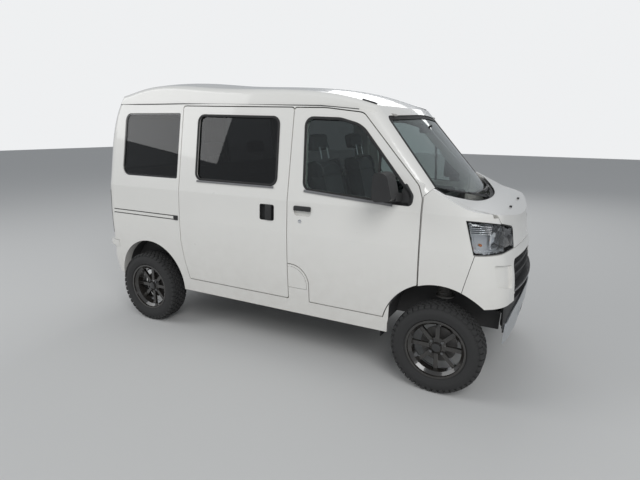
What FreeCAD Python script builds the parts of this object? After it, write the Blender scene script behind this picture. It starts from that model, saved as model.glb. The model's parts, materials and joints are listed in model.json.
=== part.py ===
"""High-roof kei cargo van, raised on taller tyres, as an assembly of separate pieces.

Frame: +X forward, +Y to the left, +Z up, millimetres. The origin is on the ground,
midway between the front and rear faces, on the middle plane.
"""
import FreeCAD, Part
import Sketcher
import math
import os
from FreeCAD import Placement, Rotation, Vector

doc = FreeCAD.newDocument("kei_van")

# The driving sizes: word alias and value in millimetres or degrees.
SIZES = (
    ("length", 3395), ("width", 1475), ("wheelbase", 2450), ("front_overhang", 440),
    ("track", 1310), ("ride_height", 353), ("roof_height", 1955),
    ("sill_top", 437), ("crease_height", 920), ("belt_height", 1140), ("gutter_height", 1788),
    ("tumblehome", 109), ("sill_tuck", 31), ("wall", 72), ("door_wall", 66), ("pillar_wall", 46),
    ("door_frame", 40), ("roof_wall", 28), ("nose_wall", 50), ("steer_reach", 358), ("house_gap", 35),
    ("rear_corner", 100), ("nose_corner", 240), ("nose_bow_radius", 2470), ("glass_bow_radius", 2128),
    ("glass_top_x", 885), ("glass_top_height", 1722), ("glass_rake", 41.8), ("pillar_corner", 90),
    ("shut_gap", 7), ("door_front_x", 1123), ("door_split_x", 192), ("slide_rear_x", -790),
    ("window_sill", 1222), ("window_head", 1712), ("glass_thickness", 5), ("glass_inset", 12),
    ("arch_radius", 325), ("arch_height", 352), ("rear_arch_x", -1150), ("rear_arch_radius", 348),
    ("tyre_radius", 291), ("tyre_width", 165), ("rim_radius", 192), ("rim_width", 145),
    ("hub_radius", 58), ("spoke_count", 8), ("stud_circle", 100), ("stud_count", 4),
    ("floor_height", 640), ("floor_thickness", 30), ("wheelhouse_wall", 4),
    ("bumper_bottom", 596), ("bumper_top", 918), ("rear_bumper_top", 668),
    ("kingpin_y", 545), ("lid_width", 165), ("lid_height", 168), ("lid_bottom", 527),
    ("seat_width", 480), ("wheel_diameter", 370), ("plate_hole_pitch", 210),
    ("tow_eye_bore", 30),
)
sheet = doc.addObject("Spreadsheet::Sheet", "sizes")
for line, (alias, value) in enumerate(SIZES, 1):
    sheet.set(f"A{line}", alias)
    sheet.set(f"B{line}", str(value))
    sheet.setAlias(f"B{line}", alias)
doc.recompute()


def size(alias):
    """Value of one driving size."""
    return float(getattr(sheet, alias))


HALF_LENGTH = size("length") / 2
HALF_WIDTH = size("width") / 2
FRONT_AXLE_X = HALF_LENGTH - size("front_overhang")
REAR_AXLE_X = FRONT_AXLE_X - size("wheelbase")
AXLE_HEIGHT = size("tyre_radius")
WHEEL_Y = size("track") / 2
GLASS_SLOPE = math.tan(math.radians(size("glass_rake")))
FAR = 3000.0


class Sized:
    """A number that keeps its expression on the sheet."""

    def __init__(self, text, value):
        self.text = text
        self.value = float(value)

    def __float__(self):
        return self.value

    def __add__(self, other):
        return Sized(f"({self.text} + {as_text(other)})", self.value + float(other))

    def __sub__(self, other):
        return Sized(f"({self.text} - {as_text(other)})", self.value - float(other))

    def __mul__(self, other):
        return Sized(f"({self.text} * {as_text(other)})", self.value * float(other))

    def __truediv__(self, other):
        return Sized(f"({self.text} / {as_text(other)})", self.value / float(other))

    def __radd__(self, other):
        return Sized(f"({as_text(other)} + {self.text})", float(other) + self.value)

    def __rsub__(self, other):
        return Sized(f"({as_text(other)} - {self.text})", float(other) - self.value)

    def __neg__(self):
        return Sized(f"(-1 * {self.text})", -self.value)


def as_text(value):
    """Expression text of a number or a sheet value."""
    return value.text if isinstance(value, Sized) else repr(float(value))


def cell(alias):
    """One sheet value with its expression."""
    return Sized(f"sizes.{alias}", size(alias))


PIN_X = cell("length") / 2 - cell("front_overhang")
DRUM_X = PIN_X - cell("wheelbase")
PIN_Y, AXLE_Z = cell("kingpin_y"), cell("tyre_radius")
TRACK_Y = cell("track") / 2


def placed(obj, at, turn):
    """Put an object at a point whose coordinates may follow the sheet."""
    obj.Placement = Placement(Vector(*[float(v) for v in at]), turn)
    for axis, value in zip("xyz", at):
        if isinstance(value, Sized):
            obj.setExpression(f"Placement.Base.{axis}", value.text)
    return obj


def primitive(kind, name, at, turn=Rotation(), **sizes):
    """Part primitive whose sizes and place may follow the sheet."""
    obj = placed(doc.addObject(kind, name), at, turn)
    obj.Label = name
    for prop, value in sizes.items():
        if isinstance(value, Sized):
            obj.setExpression(prop, value.text)
        else:
            setattr(obj, prop, value)
    return obj


ACROSS = Rotation(Vector(0, 0, 1), Vector(0, 1, 0))
ALONG = Rotation(Vector(0, 0, 1), Vector(1, 0, 0))


def rod(name, at, turn, radius, height):
    """Round bar from a point along its turned axis."""
    return primitive("Part::Cylinder", name, at, turn, Radius=radius, Height=height)


def block(name, at, length, width, height):
    """Box from its lowest corner."""
    return primitive("Part::Box", name, at, Length=length, Width=width, Height=height)


def whole(name, pieces):
    """One object fused from several."""
    obj = doc.addObject("Part::MultiFuse", name)
    obj.Label = name
    obj.Shapes = pieces
    return obj


def mirror_of(name, source):
    """The same object on the other side of the middle plane."""
    obj = doc.addObject("Part::Mirroring", name)
    obj.Label = name
    obj.Source = source
    obj.Base = Vector(0, 0, 0)
    obj.Normal = Vector(0, 1, 0)
    return obj


def profile_sketch(body, plane, corners):
    """Closed sketch through corners (along, up), each bound where it follows the sheet."""
    sketch = body.newObject("Sketcher::SketchObject", f"{body.Name}_profile")
    sketch.AttachmentSupport = [(body.Origin.OriginFeatures[plane], "")]
    sketch.MapMode = "FlatFace"
    count = len(corners)
    points = [Vector(float(a), float(b), 0) for a, b in corners]
    for i in range(count):
        sketch.addGeometry(Part.LineSegment(points[i], points[(i + 1) % count]), False)
    for i in range(count):
        sketch.addConstraint(Sketcher.Constraint("Coincident", i, 2, (i + 1) % count, 1))
    for i, corner in enumerate(corners):
        for kind, value, axis in (("DistanceX", corner[0], -2), ("DistanceY", corner[1], -1)):
            number = float(value)
            if number == 0:
                sketch.addConstraint(Sketcher.Constraint("PointOnObject", i, 1, axis))
                continue
            ends = (-1, 1, i, 1) if number > 0 else (i, 1, -1, 1)
            row = sketch.addConstraint(Sketcher.Constraint(kind, *ends, abs(number)))
            if isinstance(value, Sized):
                sketch.setExpression(f"Constraints[{row}]", value.text if number > 0 else (-value).text)
    return sketch


YZ_PLANE, XZ_PLANE = 5, 4
NODES = []


def node(obj):
    """Keep an object as one of the van's sub-parts."""
    NODES.append(obj)
    return obj


def gathered(name, pieces):
    """One sub-part of several solids that don't touch."""
    obj = doc.addObject("Part::Compound", name)
    obj.Label = name
    obj.Links = pieces
    return node(obj)


def turned_body(name, corners, at, turn):
    """Body turned about Y from a half profile (along, radius)."""
    body = doc.addObject("PartDesign::Body", name)
    body.Label = name
    feature = body.newObject("PartDesign::Revolution", f"{name}_turn")
    feature.Profile = profile_sketch(body, YZ_PLANE, corners)
    feature.ReferenceAxis = (feature.Profile[0], ["H_Axis"])
    feature.Angle = 360
    return placed(body, at, turn)


def padded_body(name, corners, y_from, width, rounding):
    """Body padded across the van from a side profile (x, z), its long edges rounded."""
    body = doc.addObject("PartDesign::Body", name)
    body.Label = name
    pad = body.newObject("PartDesign::Pad", f"{name}_pad")
    pad.Profile = profile_sketch(body, XZ_PLANE, corners)
    if isinstance(width, Sized):
        pad.setExpression("Length", width.text)
    else:
        pad.Length = width
    pad.Reversed = True
    doc.recompute()
    if rounding > 0:
        long_edges = [f"Edge{i}" for i, e in enumerate(pad.Shape.Edges, 1)
                      if abs(e.tangentAt(e.FirstParameter).y) > 0.99]
        fillet = body.newObject("PartDesign::Fillet", f"{name}_rounding")
        fillet.Base = (pad, long_edges)
        fillet.Radius = rounding
    return placed(body, (0, y_from, 0), Rotation())


def shaped(name, shape):
    """A sub-part whose shape is made from Part's own functions."""
    place = shape.Placement
    obj = doc.addObject("Part::Feature", name)
    obj.Label = name
    obj.Shape = shape
    obj.Placement = place
    return obj


def wire_of(corners, place):
    """Closed wire round corners (a, b, radius); place maps a, b to a point."""
    count = len(corners)
    starts, mids, ends = [], [], []
    for i, (a, b, radius) in enumerate(corners):
        here = Vector(a, b, 0)
        before = Vector(corners[i - 1][0], corners[i - 1][1], 0)
        after = Vector(corners[(i + 1) % count][0], corners[(i + 1) % count][1], 0)
        back = (before - here).normalize()
        forth = (after - here).normalize()
        half = back.getAngle(forth) / 2
        if radius <= 0 or half > math.radians(89.9):
            starts.append(here)
            mids.append(None)
            ends.append(here)
            continue
        reach = radius / math.tan(half)
        centre = here + (back + forth).normalize() * (radius / math.sin(half))
        starts.append(here + back * reach)
        ends.append(here + forth * reach)
        mids.append(centre + (here - centre).normalize() * radius)
    edges = []
    for i in range(count):
        if mids[i] is not None:
            points = [place(p.x, p.y) for p in (starts[i], mids[i], ends[i])]
            edges.append(Part.Arc(*points).toShape())
        a = place(ends[i].x, ends[i].y)
        b = place(starts[(i + 1) % count].x, starts[(i + 1) % count].y)
        if a.distanceToPoint(b) > 1e-6:
            edges.append(Part.LineSegment(a, b).toShape())
    return Part.Wire(edges)


def side_block(corners, y_from, y_to):
    """Prism of a side-view outline (x, z, radius) between two widths."""
    wire = wire_of(corners, lambda a, b: Vector(a, y_from, b))
    return Part.Face(wire).extrude(Vector(0, y_to - y_from, 0))


def front_block(corners, x_from, x_to):
    """Prism of a front-view outline (y, z, radius) between two lengths."""
    wire = wire_of(corners, lambda a, b: Vector(x_from, a, b))
    return Part.Face(wire).extrude(Vector(x_to - x_from, 0, 0))


def plan_block(corners, z_from, z_to):
    """Prism of a plan outline (x, y, radius) between two heights."""
    wire = wire_of(corners, lambda a, b: Vector(a, b, z_from))
    return Part.Face(wire).extrude(Vector(0, 0, z_to - z_from))


def box(x0, x1, y0, y1, z0, z1):
    """Axis-aligned block between two corners."""
    return Part.makeBox(x1 - x0, y1 - y0, z1 - z0, Vector(x0, y0, z0))


def mirrored(shape):
    """The same shape on the other side of the middle plane."""
    return shape.mirror(Vector(0, 0, 0), Vector(0, 1, 0))


# Body envelope: plan outlines stacked by height.
# Each column: height, half width, rear x, front x, front corner radius, front bow radius.
def half_width(z):
    """Half width of the body side at a height."""
    low, crease = size("ride_height"), size("crease_height")
    belt, gutter = size("belt_height"), size("gutter_height")
    if z < crease:
        return HALF_WIDTH - size("sill_tuck") * ((crease - z) / (crease - low)) ** 2
    if z < belt:
        return HALF_WIDTH - 8 * (z - crease) / (belt - crease)
    return HALF_WIDTH - 8 - size("tumblehome") * (z - belt) / (gutter - belt)


def glass_x(z):
    """Front of the windscreen on the middle plane at a height."""
    return size("glass_top_x") + GLASS_SLOPE * (size("glass_top_height") - z)


def plan_outline(z, half, rear_x, front_x, corner, bow):
    """Closed plan wire of the body: flat sides, bowed ends and round corners."""
    edges = []
    rear_corner, rear_bow = max(size("rear_corner") - (half_width(z) - half) * 0.6, 20), 6000.0
    centre_x = front_x - bow
    front_in = centre_x + math.sqrt((bow - corner) ** 2 - (half - corner) ** 2)
    ray = Vector(front_in - centre_x, half - corner, 0).normalize()
    front_join = Vector(centre_x + bow * ray.x, bow * ray.y, z)
    front_side = Vector(front_in, half, z)
    turn = (Vector(0, 1, 0) + ray).normalize()
    front_mid = Vector(front_in + corner * turn.x, half - corner + corner * turn.y, z)
    rear_centre = rear_x + rear_bow
    rear_in = rear_centre - math.sqrt((rear_bow - rear_corner) ** 2 - (half - rear_corner) ** 2)
    ray = Vector(rear_in - rear_centre, half - rear_corner, 0).normalize()
    rear_join = Vector(rear_centre + rear_bow * ray.x, rear_bow * ray.y, z)
    rear_side = Vector(rear_in, half, z)
    turn = (Vector(0, 1, 0) + ray).normalize()
    rear_mid = Vector(rear_in + rear_corner * turn.x, half - rear_corner + rear_corner * turn.y, z)

    def flip(p):
        return Vector(p.x, -p.y, p.z)

    edges.append(Part.LineSegment(rear_side, front_side).toShape())
    edges.append(Part.Arc(front_side, front_mid, front_join).toShape())
    edges.append(Part.Arc(front_join, Vector(front_x, 0, z), flip(front_join)).toShape())
    edges.append(Part.Arc(flip(front_join), flip(front_mid), flip(front_side)).toShape())
    edges.append(Part.LineSegment(flip(front_side), flip(rear_side)).toShape())
    edges.append(Part.Arc(flip(rear_side), flip(rear_mid), flip(rear_join)).toShape())
    edges.append(Part.Arc(flip(rear_join), Vector(rear_x, 0, z), rear_join).toShape())
    edges.append(Part.Arc(rear_join, rear_mid, rear_side).toShape())
    return Part.Wire(edges)


def stack(rows, inset, ruled):
    """Loft of plan outlines; rows give height, rear x, front x, corner and bow."""
    wires = []
    for z, rear_x, front_x, corner, bow in rows:
        wires.append(plan_outline(z, half_width(z) - inset, rear_x + inset, front_x - inset,
                                  corner - inset / 2, bow))
    return Part.makeLoft(wires, True, ruled)


REAR = -HALF_LENGTH
LOW_ROWS = (
    (size("ride_height") - 20, REAR + 50, HALF_LENGTH - 14, size("nose_corner"), size("nose_bow_radius")),
    (640, REAR + 47, HALF_LENGTH, size("nose_corner"), size("nose_bow_radius")),
    (780, REAR + 46, HALF_LENGTH - 8, size("nose_corner"), size("nose_bow_radius")),
    (size("crease_height"), REAR + 45, HALF_LENGTH - 42, size("nose_corner") - 30, size("nose_bow_radius")),
)
MIDDLE_ROWS = (
    LOW_ROWS[-1],
    (size("belt_height"), REAR + 46, HALF_LENGTH - 72, size("nose_corner"), size("nose_bow_radius")),
)


def high_row(z, rear_x):
    """Row of the cabin stack, with the front on the windscreen."""
    return (z, rear_x, glass_x(z), size("pillar_corner"), size("glass_bow_radius"))


HIGH_ROWS = (
    high_row(size("belt_height"), REAR + 46),
    high_row(1480, REAR + 58),
    high_row(size("gutter_height"), REAR + 128),
    high_row(2000, REAR + 290),
)
NOSE_TOP_ROWS = (
    MIDDLE_ROWS[-1],
    (1330, REAR + 50, HALF_LENGTH - 110, size("nose_corner"), size("nose_bow_radius")),
)

# Roof sections along the van: x, gutter height, shoulder height, crown height.
ROOF_ROWS = (
    (REAR - 60, 1788, 1862, 1944),
    (-1300, 1788, 1868, 1955),
    (-540, 1786, 1866, 1952),
    (164, 1768, 1842, 1917),
    (560, 1748, 1796, 1862),
    (790, 1716, 1738, 1786),
    (1000, 1660, 1672, 1690),
    (1500, 1430, 1442, 1452),
)


def roof_wire(x, gutter, shoulder, crown, drop):
    """Closed cross-section of everything under the roof skin at one length."""
    crown_gain = size("roof_height") - 1955
    gutter, shoulder, crown = (v + crown_gain - drop for v in (gutter, shoulder, crown))
    band = half_width(size("gutter_height")) - 9 - drop
    lean = (shoulder - gutter) * 0.24
    top = band - lean
    turn_y, turn_z = top - 62, shoulder + (crown - shoulder) * 0.47
    mid = Vector(x, top - 17, shoulder + (turn_z - shoulder) * 0.62)
    ledge = HALF_WIDTH + 20

    def flip(p):
        return Vector(p.x, -p.y, p.z)

    low = 1000.0
    floor_corner = Vector(x, ledge, low)
    ledge_out = Vector(x, ledge, gutter)
    ledge_in = Vector(x, band - 1, gutter + 1)
    shoulder_point = Vector(x, top, shoulder)
    turn_point = Vector(x, turn_y, turn_z)
    edges = [
        Part.LineSegment(floor_corner, ledge_out).toShape(),
        Part.LineSegment(ledge_out, ledge_in).toShape(),
        Part.LineSegment(ledge_in, shoulder_point).toShape(),
        Part.Arc(shoulder_point, mid, turn_point).toShape(),
        Part.Arc(turn_point, Vector(x, 0, crown), flip(turn_point)).toShape(),
        Part.Arc(flip(turn_point), flip(mid), flip(shoulder_point)).toShape(),
        Part.LineSegment(flip(shoulder_point), flip(ledge_in)).toShape(),
        Part.LineSegment(flip(ledge_in), flip(ledge_out)).toShape(),
        Part.LineSegment(flip(ledge_out), flip(floor_corner)).toShape(),
        Part.LineSegment(flip(floor_corner), floor_corner).toShape(),
    ]
    return Part.Wire(edges)


def under_roof(drop):
    """Solid below the roof skin."""
    return Part.makeLoft([roof_wire(*row, drop) for row in ROOF_ROWS], True, False)


HOOD_FOOT = ((1100, 1318), (1390, 1176))


def under_hood(drop):
    """Solid below the hood skin, crowned across the van."""
    profile = (
        (REAR - 60, 1400, 0), (1000, 1400, 60), (*HOOD_FOOT[0], 60), (*HOOD_FOOT[1], 260), (1570, 1142, 150),
        (1652, 1080, 60), (HALF_LENGTH + 30, 900, 0), (HALF_LENGTH + 30, 200, 0), (REAR - 60, 200, 0),
    )
    return side_block([(a, b - drop, r) for a, b, r in profile], -HALF_WIDTH - 20, HALF_WIDTH + 20)


def envelope(low_inset, high_inset, roof_drop, hood_drop):
    """Whole body form, moved inwards by the given insets."""
    low = stack(LOW_ROWS, low_inset, False)
    middle = stack(MIDDLE_ROWS, low_inset, True)
    nose = stack(NOSE_TOP_ROWS, low_inset, True).common(box(950, HALF_LENGTH + 50, -800, 800, 1100, 1400))
    lower = low.fuse([middle, nose]).common(under_hood(hood_drop))
    cabin = stack(HIGH_ROWS, high_inset, False).common(under_roof(roof_drop))
    return lower.fuse(cabin)


OUTER = envelope(0, 0, 0, 0)
INNER = envelope(size("wall"), size("pillar_wall"), size("roof_wall"), size("nose_wall"))
SHELL = OUTER.cut(INNER)
GAP = size("shut_gap")
SIDE = HALF_WIDTH + 30
CABIN_Y = 380.0
DOOR_X = size("door_front_x")
SPLIT_X = size("door_split_x")
SLIDE_X = size("slide_rear_x")
SILL_TOP = size("sill_top")
WIN_LOW, WIN_HIGH = size("window_sill"), size("window_head")


def solid_only(shape, least=2000.0):
    """Drop slivers left by cuts; one solid stays a solid, several stay together."""
    kept = [s for s in shape.Solids if s.Volume > least]
    return kept[0] if len(kept) == 1 else Part.makeCompound(kept)


def arch(x, radius, height, y_from, y_to):
    """Cylinder across the van over a wheel, open downwards as a tall slot."""
    tube = Part.makeCylinder(radius, y_to - y_from, Vector(x, y_from, height), Vector(0, 1, 0))
    return tube.fuse(box(x - radius, x + radius, y_from, y_to, height - 400, height))


def steered_opening(radius):
    """Left front wheel opening: the lip's radius at the skin, wider where the steered tyre sweeps."""
    inside = arch(FRONT_AXLE_X, radius + size("house_gap"), size("arch_height"), CABIN_Y, HALF_WIDTH)
    sweep = Part.makeCylinder(size("steer_reach"), 1400, Vector(FRONT_AXLE_X, size("kingpin_y"), 0))
    return inside.common(sweep).fuse(arch(FRONT_AXLE_X, radius, size("arch_height"), CABIN_Y, SIDE))


# Side-view outlines as corners (x, z, radius).
def grown(corners, by):
    """Outline moved outwards by a distance, its corner radii with it."""
    count = len(corners)
    turn = sum(corners[i][0] * corners[(i + 1) % count][1] - corners[(i + 1) % count][0] * corners[i][1]
               for i in range(count))
    sign = 1 if turn > 0 else -1
    moved = []
    for i, (a, b, radius) in enumerate(corners):
        before, after = corners[i - 1], corners[(i + 1) % count]
        in_dir = Vector(a - before[0], b - before[1], 0).normalize()
        out_dir = Vector(after[0] - a, after[1] - b, 0).normalize()
        in_normal = Vector(in_dir.y, -in_dir.x, 0) * sign
        out_normal = Vector(out_dir.y, -out_dir.x, 0) * sign
        bisector = (in_normal + out_normal).normalize()
        step = by / bisector.dot(in_normal)
        moved.append((a + bisector.x * step, b + bisector.y * step, max(radius + by * 0.6, 0) if radius else 0))
    return moved


SLIDE_DOOR = (
    (SLIDE_X, 1776, 22), (SPLIT_X, 1758, 22), (SPLIT_X, SILL_TOP, 12), (-732, SILL_TOP, 14),
    (-770, 600, 60), (SLIDE_X, 742, 90),
)
FRONT_DOOR = (
    (SPLIT_X, 1757, 22), (430, 1753, 400), (697, 1722, 70), (1092, 1300, 60), (DOOR_X - 2, 1225, 50),
    (DOOR_X, SILL_TOP + 190, 0), (DOOR_X, SILL_TOP, 0), (SPLIT_X, SILL_TOP, 12),
)
QUARTER_WINDOW = ((-1412, WIN_HIGH + 12, 60), (-815, WIN_HIGH + 12, 14), (-815, WIN_LOW + 8, 14), (-1418, WIN_LOW + 8, 75))
SLIDE_WINDOW = ((-628, WIN_HIGH - 8, 48), (76, WIN_HIGH - 22, 48), (92, WIN_LOW + 16, 48), (-622, WIN_LOW + 20, 48))
FRONT_WINDOW = (
    (292, WIN_HIGH - 24, 48), (540, WIN_HIGH - 32, 140), (690, 1640, 160), (1042, 1245, 60),
    (1050, WIN_LOW - 32, 20), (940, WIN_LOW - 34, 60), (318, WIN_LOW + 8, 48),
)
LID_BORDER = 16
LID_FRONT = SPLIT_X + size("lid_width") - LID_BORDER
LID_TOP = size("lid_bottom") + size("lid_height") - LID_BORDER
LID = (
    (SPLIT_X + 3, size("lid_bottom"), 4), (SPLIT_X + 3, LID_TOP, 10),
    (LID_FRONT, LID_TOP, size("lid_width") * 0.85 - LID_BORDER), (LID_FRONT, size("lid_bottom"), 4),
)
LID_CORNER = (
    (SPLIT_X + GAP / 2, SILL_TOP - GAP, 0), (SPLIT_X + GAP / 2, size("lid_bottom") + size("lid_height"), 0),
    (SPLIT_X + size("lid_width"), size("lid_bottom") + size("lid_height"), size("lid_width") * 0.85),
    (SPLIT_X + size("lid_width"), SILL_TOP - GAP, 0),
)


def left_slab(corners, y_from=CABIN_Y, y_to=SIDE):
    """Left-hand prism of a side-view outline."""
    return side_block(list(corners), y_from, y_to)


def glass_pair(inset):
    """Thin skin just inside the body side, for glass."""
    depth = size("glass_inset") + inset
    outer = stack(HIGH_ROWS, depth, False)
    return outer.cut(stack(HIGH_ROWS, depth + size("glass_thickness"), False))


GLASS_SKIN = glass_pair(0)
LEFT_BODY = OUTER.common(box(REAR - 80, DOOR_X + 60, CABIN_Y, SIDE, 300, 1900))
LEFT_CABIN = INNER.common(box(REAR - 80, DOOR_X + 60, CABIN_Y, SIDE, 300, 1900))
LEFT_SHELL = LEFT_BODY.cut(LEFT_CABIN)


def skin_of(block, shift):
    """Outer layer of a block, as deep as the shift moves its copy."""
    return block.cut(block.translated(shift))


FRONT_ARCH = steered_opening(size("arch_radius"))
FRONT_LIP = arch(FRONT_AXLE_X, size("arch_radius") + 41, size("arch_height"), CABIN_Y, SIDE)
REAR_ARCH = arch(size("rear_arch_x"), size("rear_arch_radius"), size("arch_height"), CABIN_Y, SIDE)


def door_panel(corners, window):
    """Door skin and its glass on the left side."""
    block = LEFT_BODY.common(left_slab(grown(corners, -GAP / 2)))
    belt = size("belt_height")
    lower = skin_of(block.common(box(REAR, HALF_LENGTH, 0, SIDE, 0, belt)), Vector(0, -size("door_wall"), 0))
    upper = skin_of(block.common(box(REAR, HALF_LENGTH, 0, SIDE, belt, 1900)), Vector(0, -size("door_frame"), 0))
    skin = lower.fuse(upper)
    glass = GLASS_SKIN.common(left_slab(grown(window, 9)))
    skin = skin.cut(left_slab(window)).cut(glass)
    return solid_only(skin), solid_only(glass)


def recess(corners, depth):
    """Outer layer of the left body side within an outline, as deep as a recess."""
    slab = LEFT_BODY.common(left_slab(corners, CABIN_Y + 200))
    return slab.cut(slab.translated(Vector(0, -depth, 0)))


PULL_RECESS = ((247, 1046, 22), (247, 1108, 12), (378, 1108, 12), (378, 1046, 22))
CUP_RECESS = ((-33, 991, 14), (-33, 1103, 14), (87, 1103, 14), (87, 991, 14))
RAIL_GROOVES = [((-1530, z, 0), (-1530, z + 8, 0), (-811, z + 8, 0), (-811, z, 0)) for z in (907, 936)]
slide_left, slide_glass = door_panel(SLIDE_DOOR, SLIDE_WINDOW)
slide_left = slide_left.cut(recess(CUP_RECESS, 24))
front_left, front_glass = door_panel(FRONT_DOOR, FRONT_WINDOW)
front_left = solid_only(front_left.cut([FRONT_LIP, recess(PULL_RECESS, 18)]))
front_right = solid_only(mirrored(front_left).cut(mirrored(left_slab(grown(LID_CORNER, GAP)))))
quarter_glass = solid_only(GLASS_SKIN.common(left_slab(grown(QUARTER_WINDOW, 9))))

# The fixed body side: sill, cantrail, windscreen pillar and rear quarter.
ROOF_LINE = (
    (REAR - 80, 1796, 0), (-540, 1794, 0), (164, 1776, 400), (560, 1756, 300), (790, 1724, 0),
    (1100, 1560, 0), (1100, 2100, 0), (REAR - 80, 2100, 0),
)
ABOVE_GUTTER = side_block(list(ROOF_LINE), -SIDE, SIDE)
GATE = (
    (-652, 690, 60), (-664, 950, 900), (-650, 1160, 400), (-560, 1745, 300), (-535, 1842, 60),
    (535, 1842, 60), (560, 1745, 300), (650, 1160, 400), (664, 950, 900), (652, 690, 60),
)
GATE_BLOCK = front_block(list(GATE), REAR - 80, REAR + 320)
GATE_WINDOW = ((-560, 1250, 60), (-502, 1700, 70), (502, 1700, 70), (560, 1250, 60))
SCREEN = ((-652, 1262, 60), (-572, 1704, 46), (0, 1724, 3200), (572, 1704, 46), (652, 1262, 60), (480, 1100, 300), (-480, 1100, 300))
SCREEN_BLOCK = front_block(list(SCREEN), 700, HALF_LENGTH)
SIDE_SPACE = box(REAR - 80, DOOR_X + 46, 0, SIDE, 300, 1900)
HINGE_POST = ((DOOR_X - 66, 690, 0), (DOOR_X - 66, 1330, 0), (DOOR_X + 3, 1290, 0), (DOOR_X + 3, 690, 0))
MID_POST = ((150, SILL_TOP - 70, 0), (150, 1776, 0), (234, 1776, 0), (234, SILL_TOP - 70, 0))


def post(corners):
    """Body post behind the doors, just inside the wall."""
    block = LEFT_CABIN.common(left_slab(corners))
    return skin_of(block, Vector(0, -42, 0))


NOSE_TOP = box(DOOR_X + 3, HALF_LENGTH, 0, SIDE, 1200, 1420).cut(stack(HIGH_ROWS, 0, False))
HINGE_TIE = ((DOOR_X - 60, 1270, 0), (DOOR_X + 3, 1270, 0), (DOOR_X + 3, 1320, 0), (DOOR_X - 60, 1390, 0))


FENDER_ZONE = (
    (DOOR_X + 3, 300, 0), (DOOR_X + 3, 1240, 0), (1182, 1292, 0), (HALF_LENGTH, 1292, 0), (HALF_LENGTH, 300, 0),
)


def side_frame():
    """Left body side with its openings, and the posts behind the doors."""
    skin = LEFT_SHELL.cut([ABOVE_GUTTER, GATE_BLOCK, SCREEN_BLOCK])
    arch_flare = arch(FRONT_AXLE_X, size("arch_radius") + 41 - GAP, size("arch_height"), CABIN_Y - 5, SIDE + 5)
    skin = skin.cut(left_slab(grown(SLIDE_DOOR, GAP / 2))).cut(left_slab(grown(FRONT_DOOR, GAP / 2)).cut(arch_flare))
    fender_zone = left_slab(FENDER_ZONE, 0)
    skin = skin.cut([fender_zone, NOSE_TOP]).cut(FRONT_ARCH).cut(REAR_ARCH)
    skin = skin.cut(left_slab(QUARTER_WINDOW)).cut(quarter_glass)
    skin = skin.cut([recess(groove, 10) for groove in RAIL_GROOVES])
    skin = skin.cut(box(REAR - 80, REAR + 196, 0, SIDE, 300, size("rear_bumper_top")))
    tie = LEFT_BODY.common(left_slab(HINGE_TIE)).cut(left_slab(grown(FRONT_DOOR, GAP / 2)))
    tie = skin_of(tie, Vector(0, -90, 0))
    return solid_only(skin.fuse([post(MID_POST), post(HINGE_POST), tie]))


side_left = side_frame()
lid_corner = LEFT_SHELL.common(left_slab(LID_CORNER))
lid_panel = lid_corner.cut(left_slab(grown(LID, 3), HALF_WIDTH - 60))
lid_frame = post(grown(LID_CORNER, 14))
side_right = solid_only(mirrored(side_left))
lid_surround = solid_only(mirrored(lid_panel.fuse(lid_frame).cut(side_left)))
fuel_lid = mirrored(skin_of(lid_corner.common(left_slab(LID)), Vector(0, -14, 0)))

roof = SHELL.common(ABOVE_GUTTER).cut([GATE_BLOCK, SCREEN_BLOCK])
screen = GLASS_SKIN.common(front_block(grown(SCREEN, 8), 700, HALF_LENGTH)).cut(under_hood(-2))
side_left = solid_only(side_left.cut(screen))
side_right = solid_only(side_right.cut(screen))
roof = solid_only(roof.cut(screen))

gate = skin_of(OUTER.common(front_block(grown(GATE, -GAP / 2), REAR - 80, REAR + 320)), Vector(42, 0, 0))
gate = gate.common(box(REAR - 80, REAR + 300, -SIDE, SIDE, 300, 1900))
gate_glass = GLASS_SKIN.common(front_block(grown(GATE_WINDOW, 9), REAR - 80, -1200))
plate_holes = [Part.makeCylinder(3.5, 200, Vector(REAR - 60, side * size("plate_hole_pitch") / 2, 800), Vector(1, 0, 0))
               for side in (-1, 1)]
gate = gate.cut([front_block(list(GATE_WINDOW), REAR - 80, -1200), gate_glass] + plate_holes)
gate = solid_only(gate)

# Nose: fenders, bonnet, lamps and bumper.
LAMP_FRONT = (
    (418, 926, 12), (418, 1052, 30), (560, 1084, 200), (690, 1110, 40), (SIDE, 1124, 0), (SIDE, 926, 0),
)
LAMP_SIDE = ((1380, 1140, 0), (1444, 920, 0), (HALF_LENGTH + 20, 920, 0), (HALF_LENGTH + 20, 1140, 0))
BONNET_FRONT = (
    (0, size("bumper_top") + 4, 0), (411, size("bumper_top") + 4, 10), (411, 1058, 30), (584, 1096, 8), (606, 1140, 60),
    (652, 1172, 40), (655, 1420, 0), (0, 1420, 0),
)
BUMPER_SIDE = (
    (1449, size("bumper_top"), 0), (1388, 666, 40), (1350, size("bumper_bottom"), 0),
    (HALF_LENGTH + 20, size("bumper_bottom"), 0), (HALF_LENGTH + 20, size("bumper_top"), 0),
)
NOSE_SHELL = SHELL.common(box(DOOR_X + 3 + GAP / 2, HALF_LENGTH + 20, -SIDE, SIDE, 300, 1420))
NOSE = NOSE_SHELL.cut(stack(HIGH_ROWS, -3, False))
lamp_block = front_block(list(LAMP_FRONT), 1200, HALF_LENGTH + 20).common(left_slab(LAMP_SIDE, 0))
bonnet_half = front_block(list(BONNET_FRONT), 1150, HALF_LENGTH + 20)
bonnet_block = bonnet_half.fuse(mirrored(bonnet_half))
bumper_block = left_slab(BUMPER_SIDE, 0)
headlamp = solid_only(NOSE_SHELL.common(lamp_block))
cowl_cut = stack(HIGH_ROWS, -36, False)


def screen_foot(y, z):
    """Front of the windscreen's surface at a place across and a height."""
    radius = size("glass_bow_radius")
    return glass_x(z) - (radius - math.sqrt(radius ** 2 - y ** 2))


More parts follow.
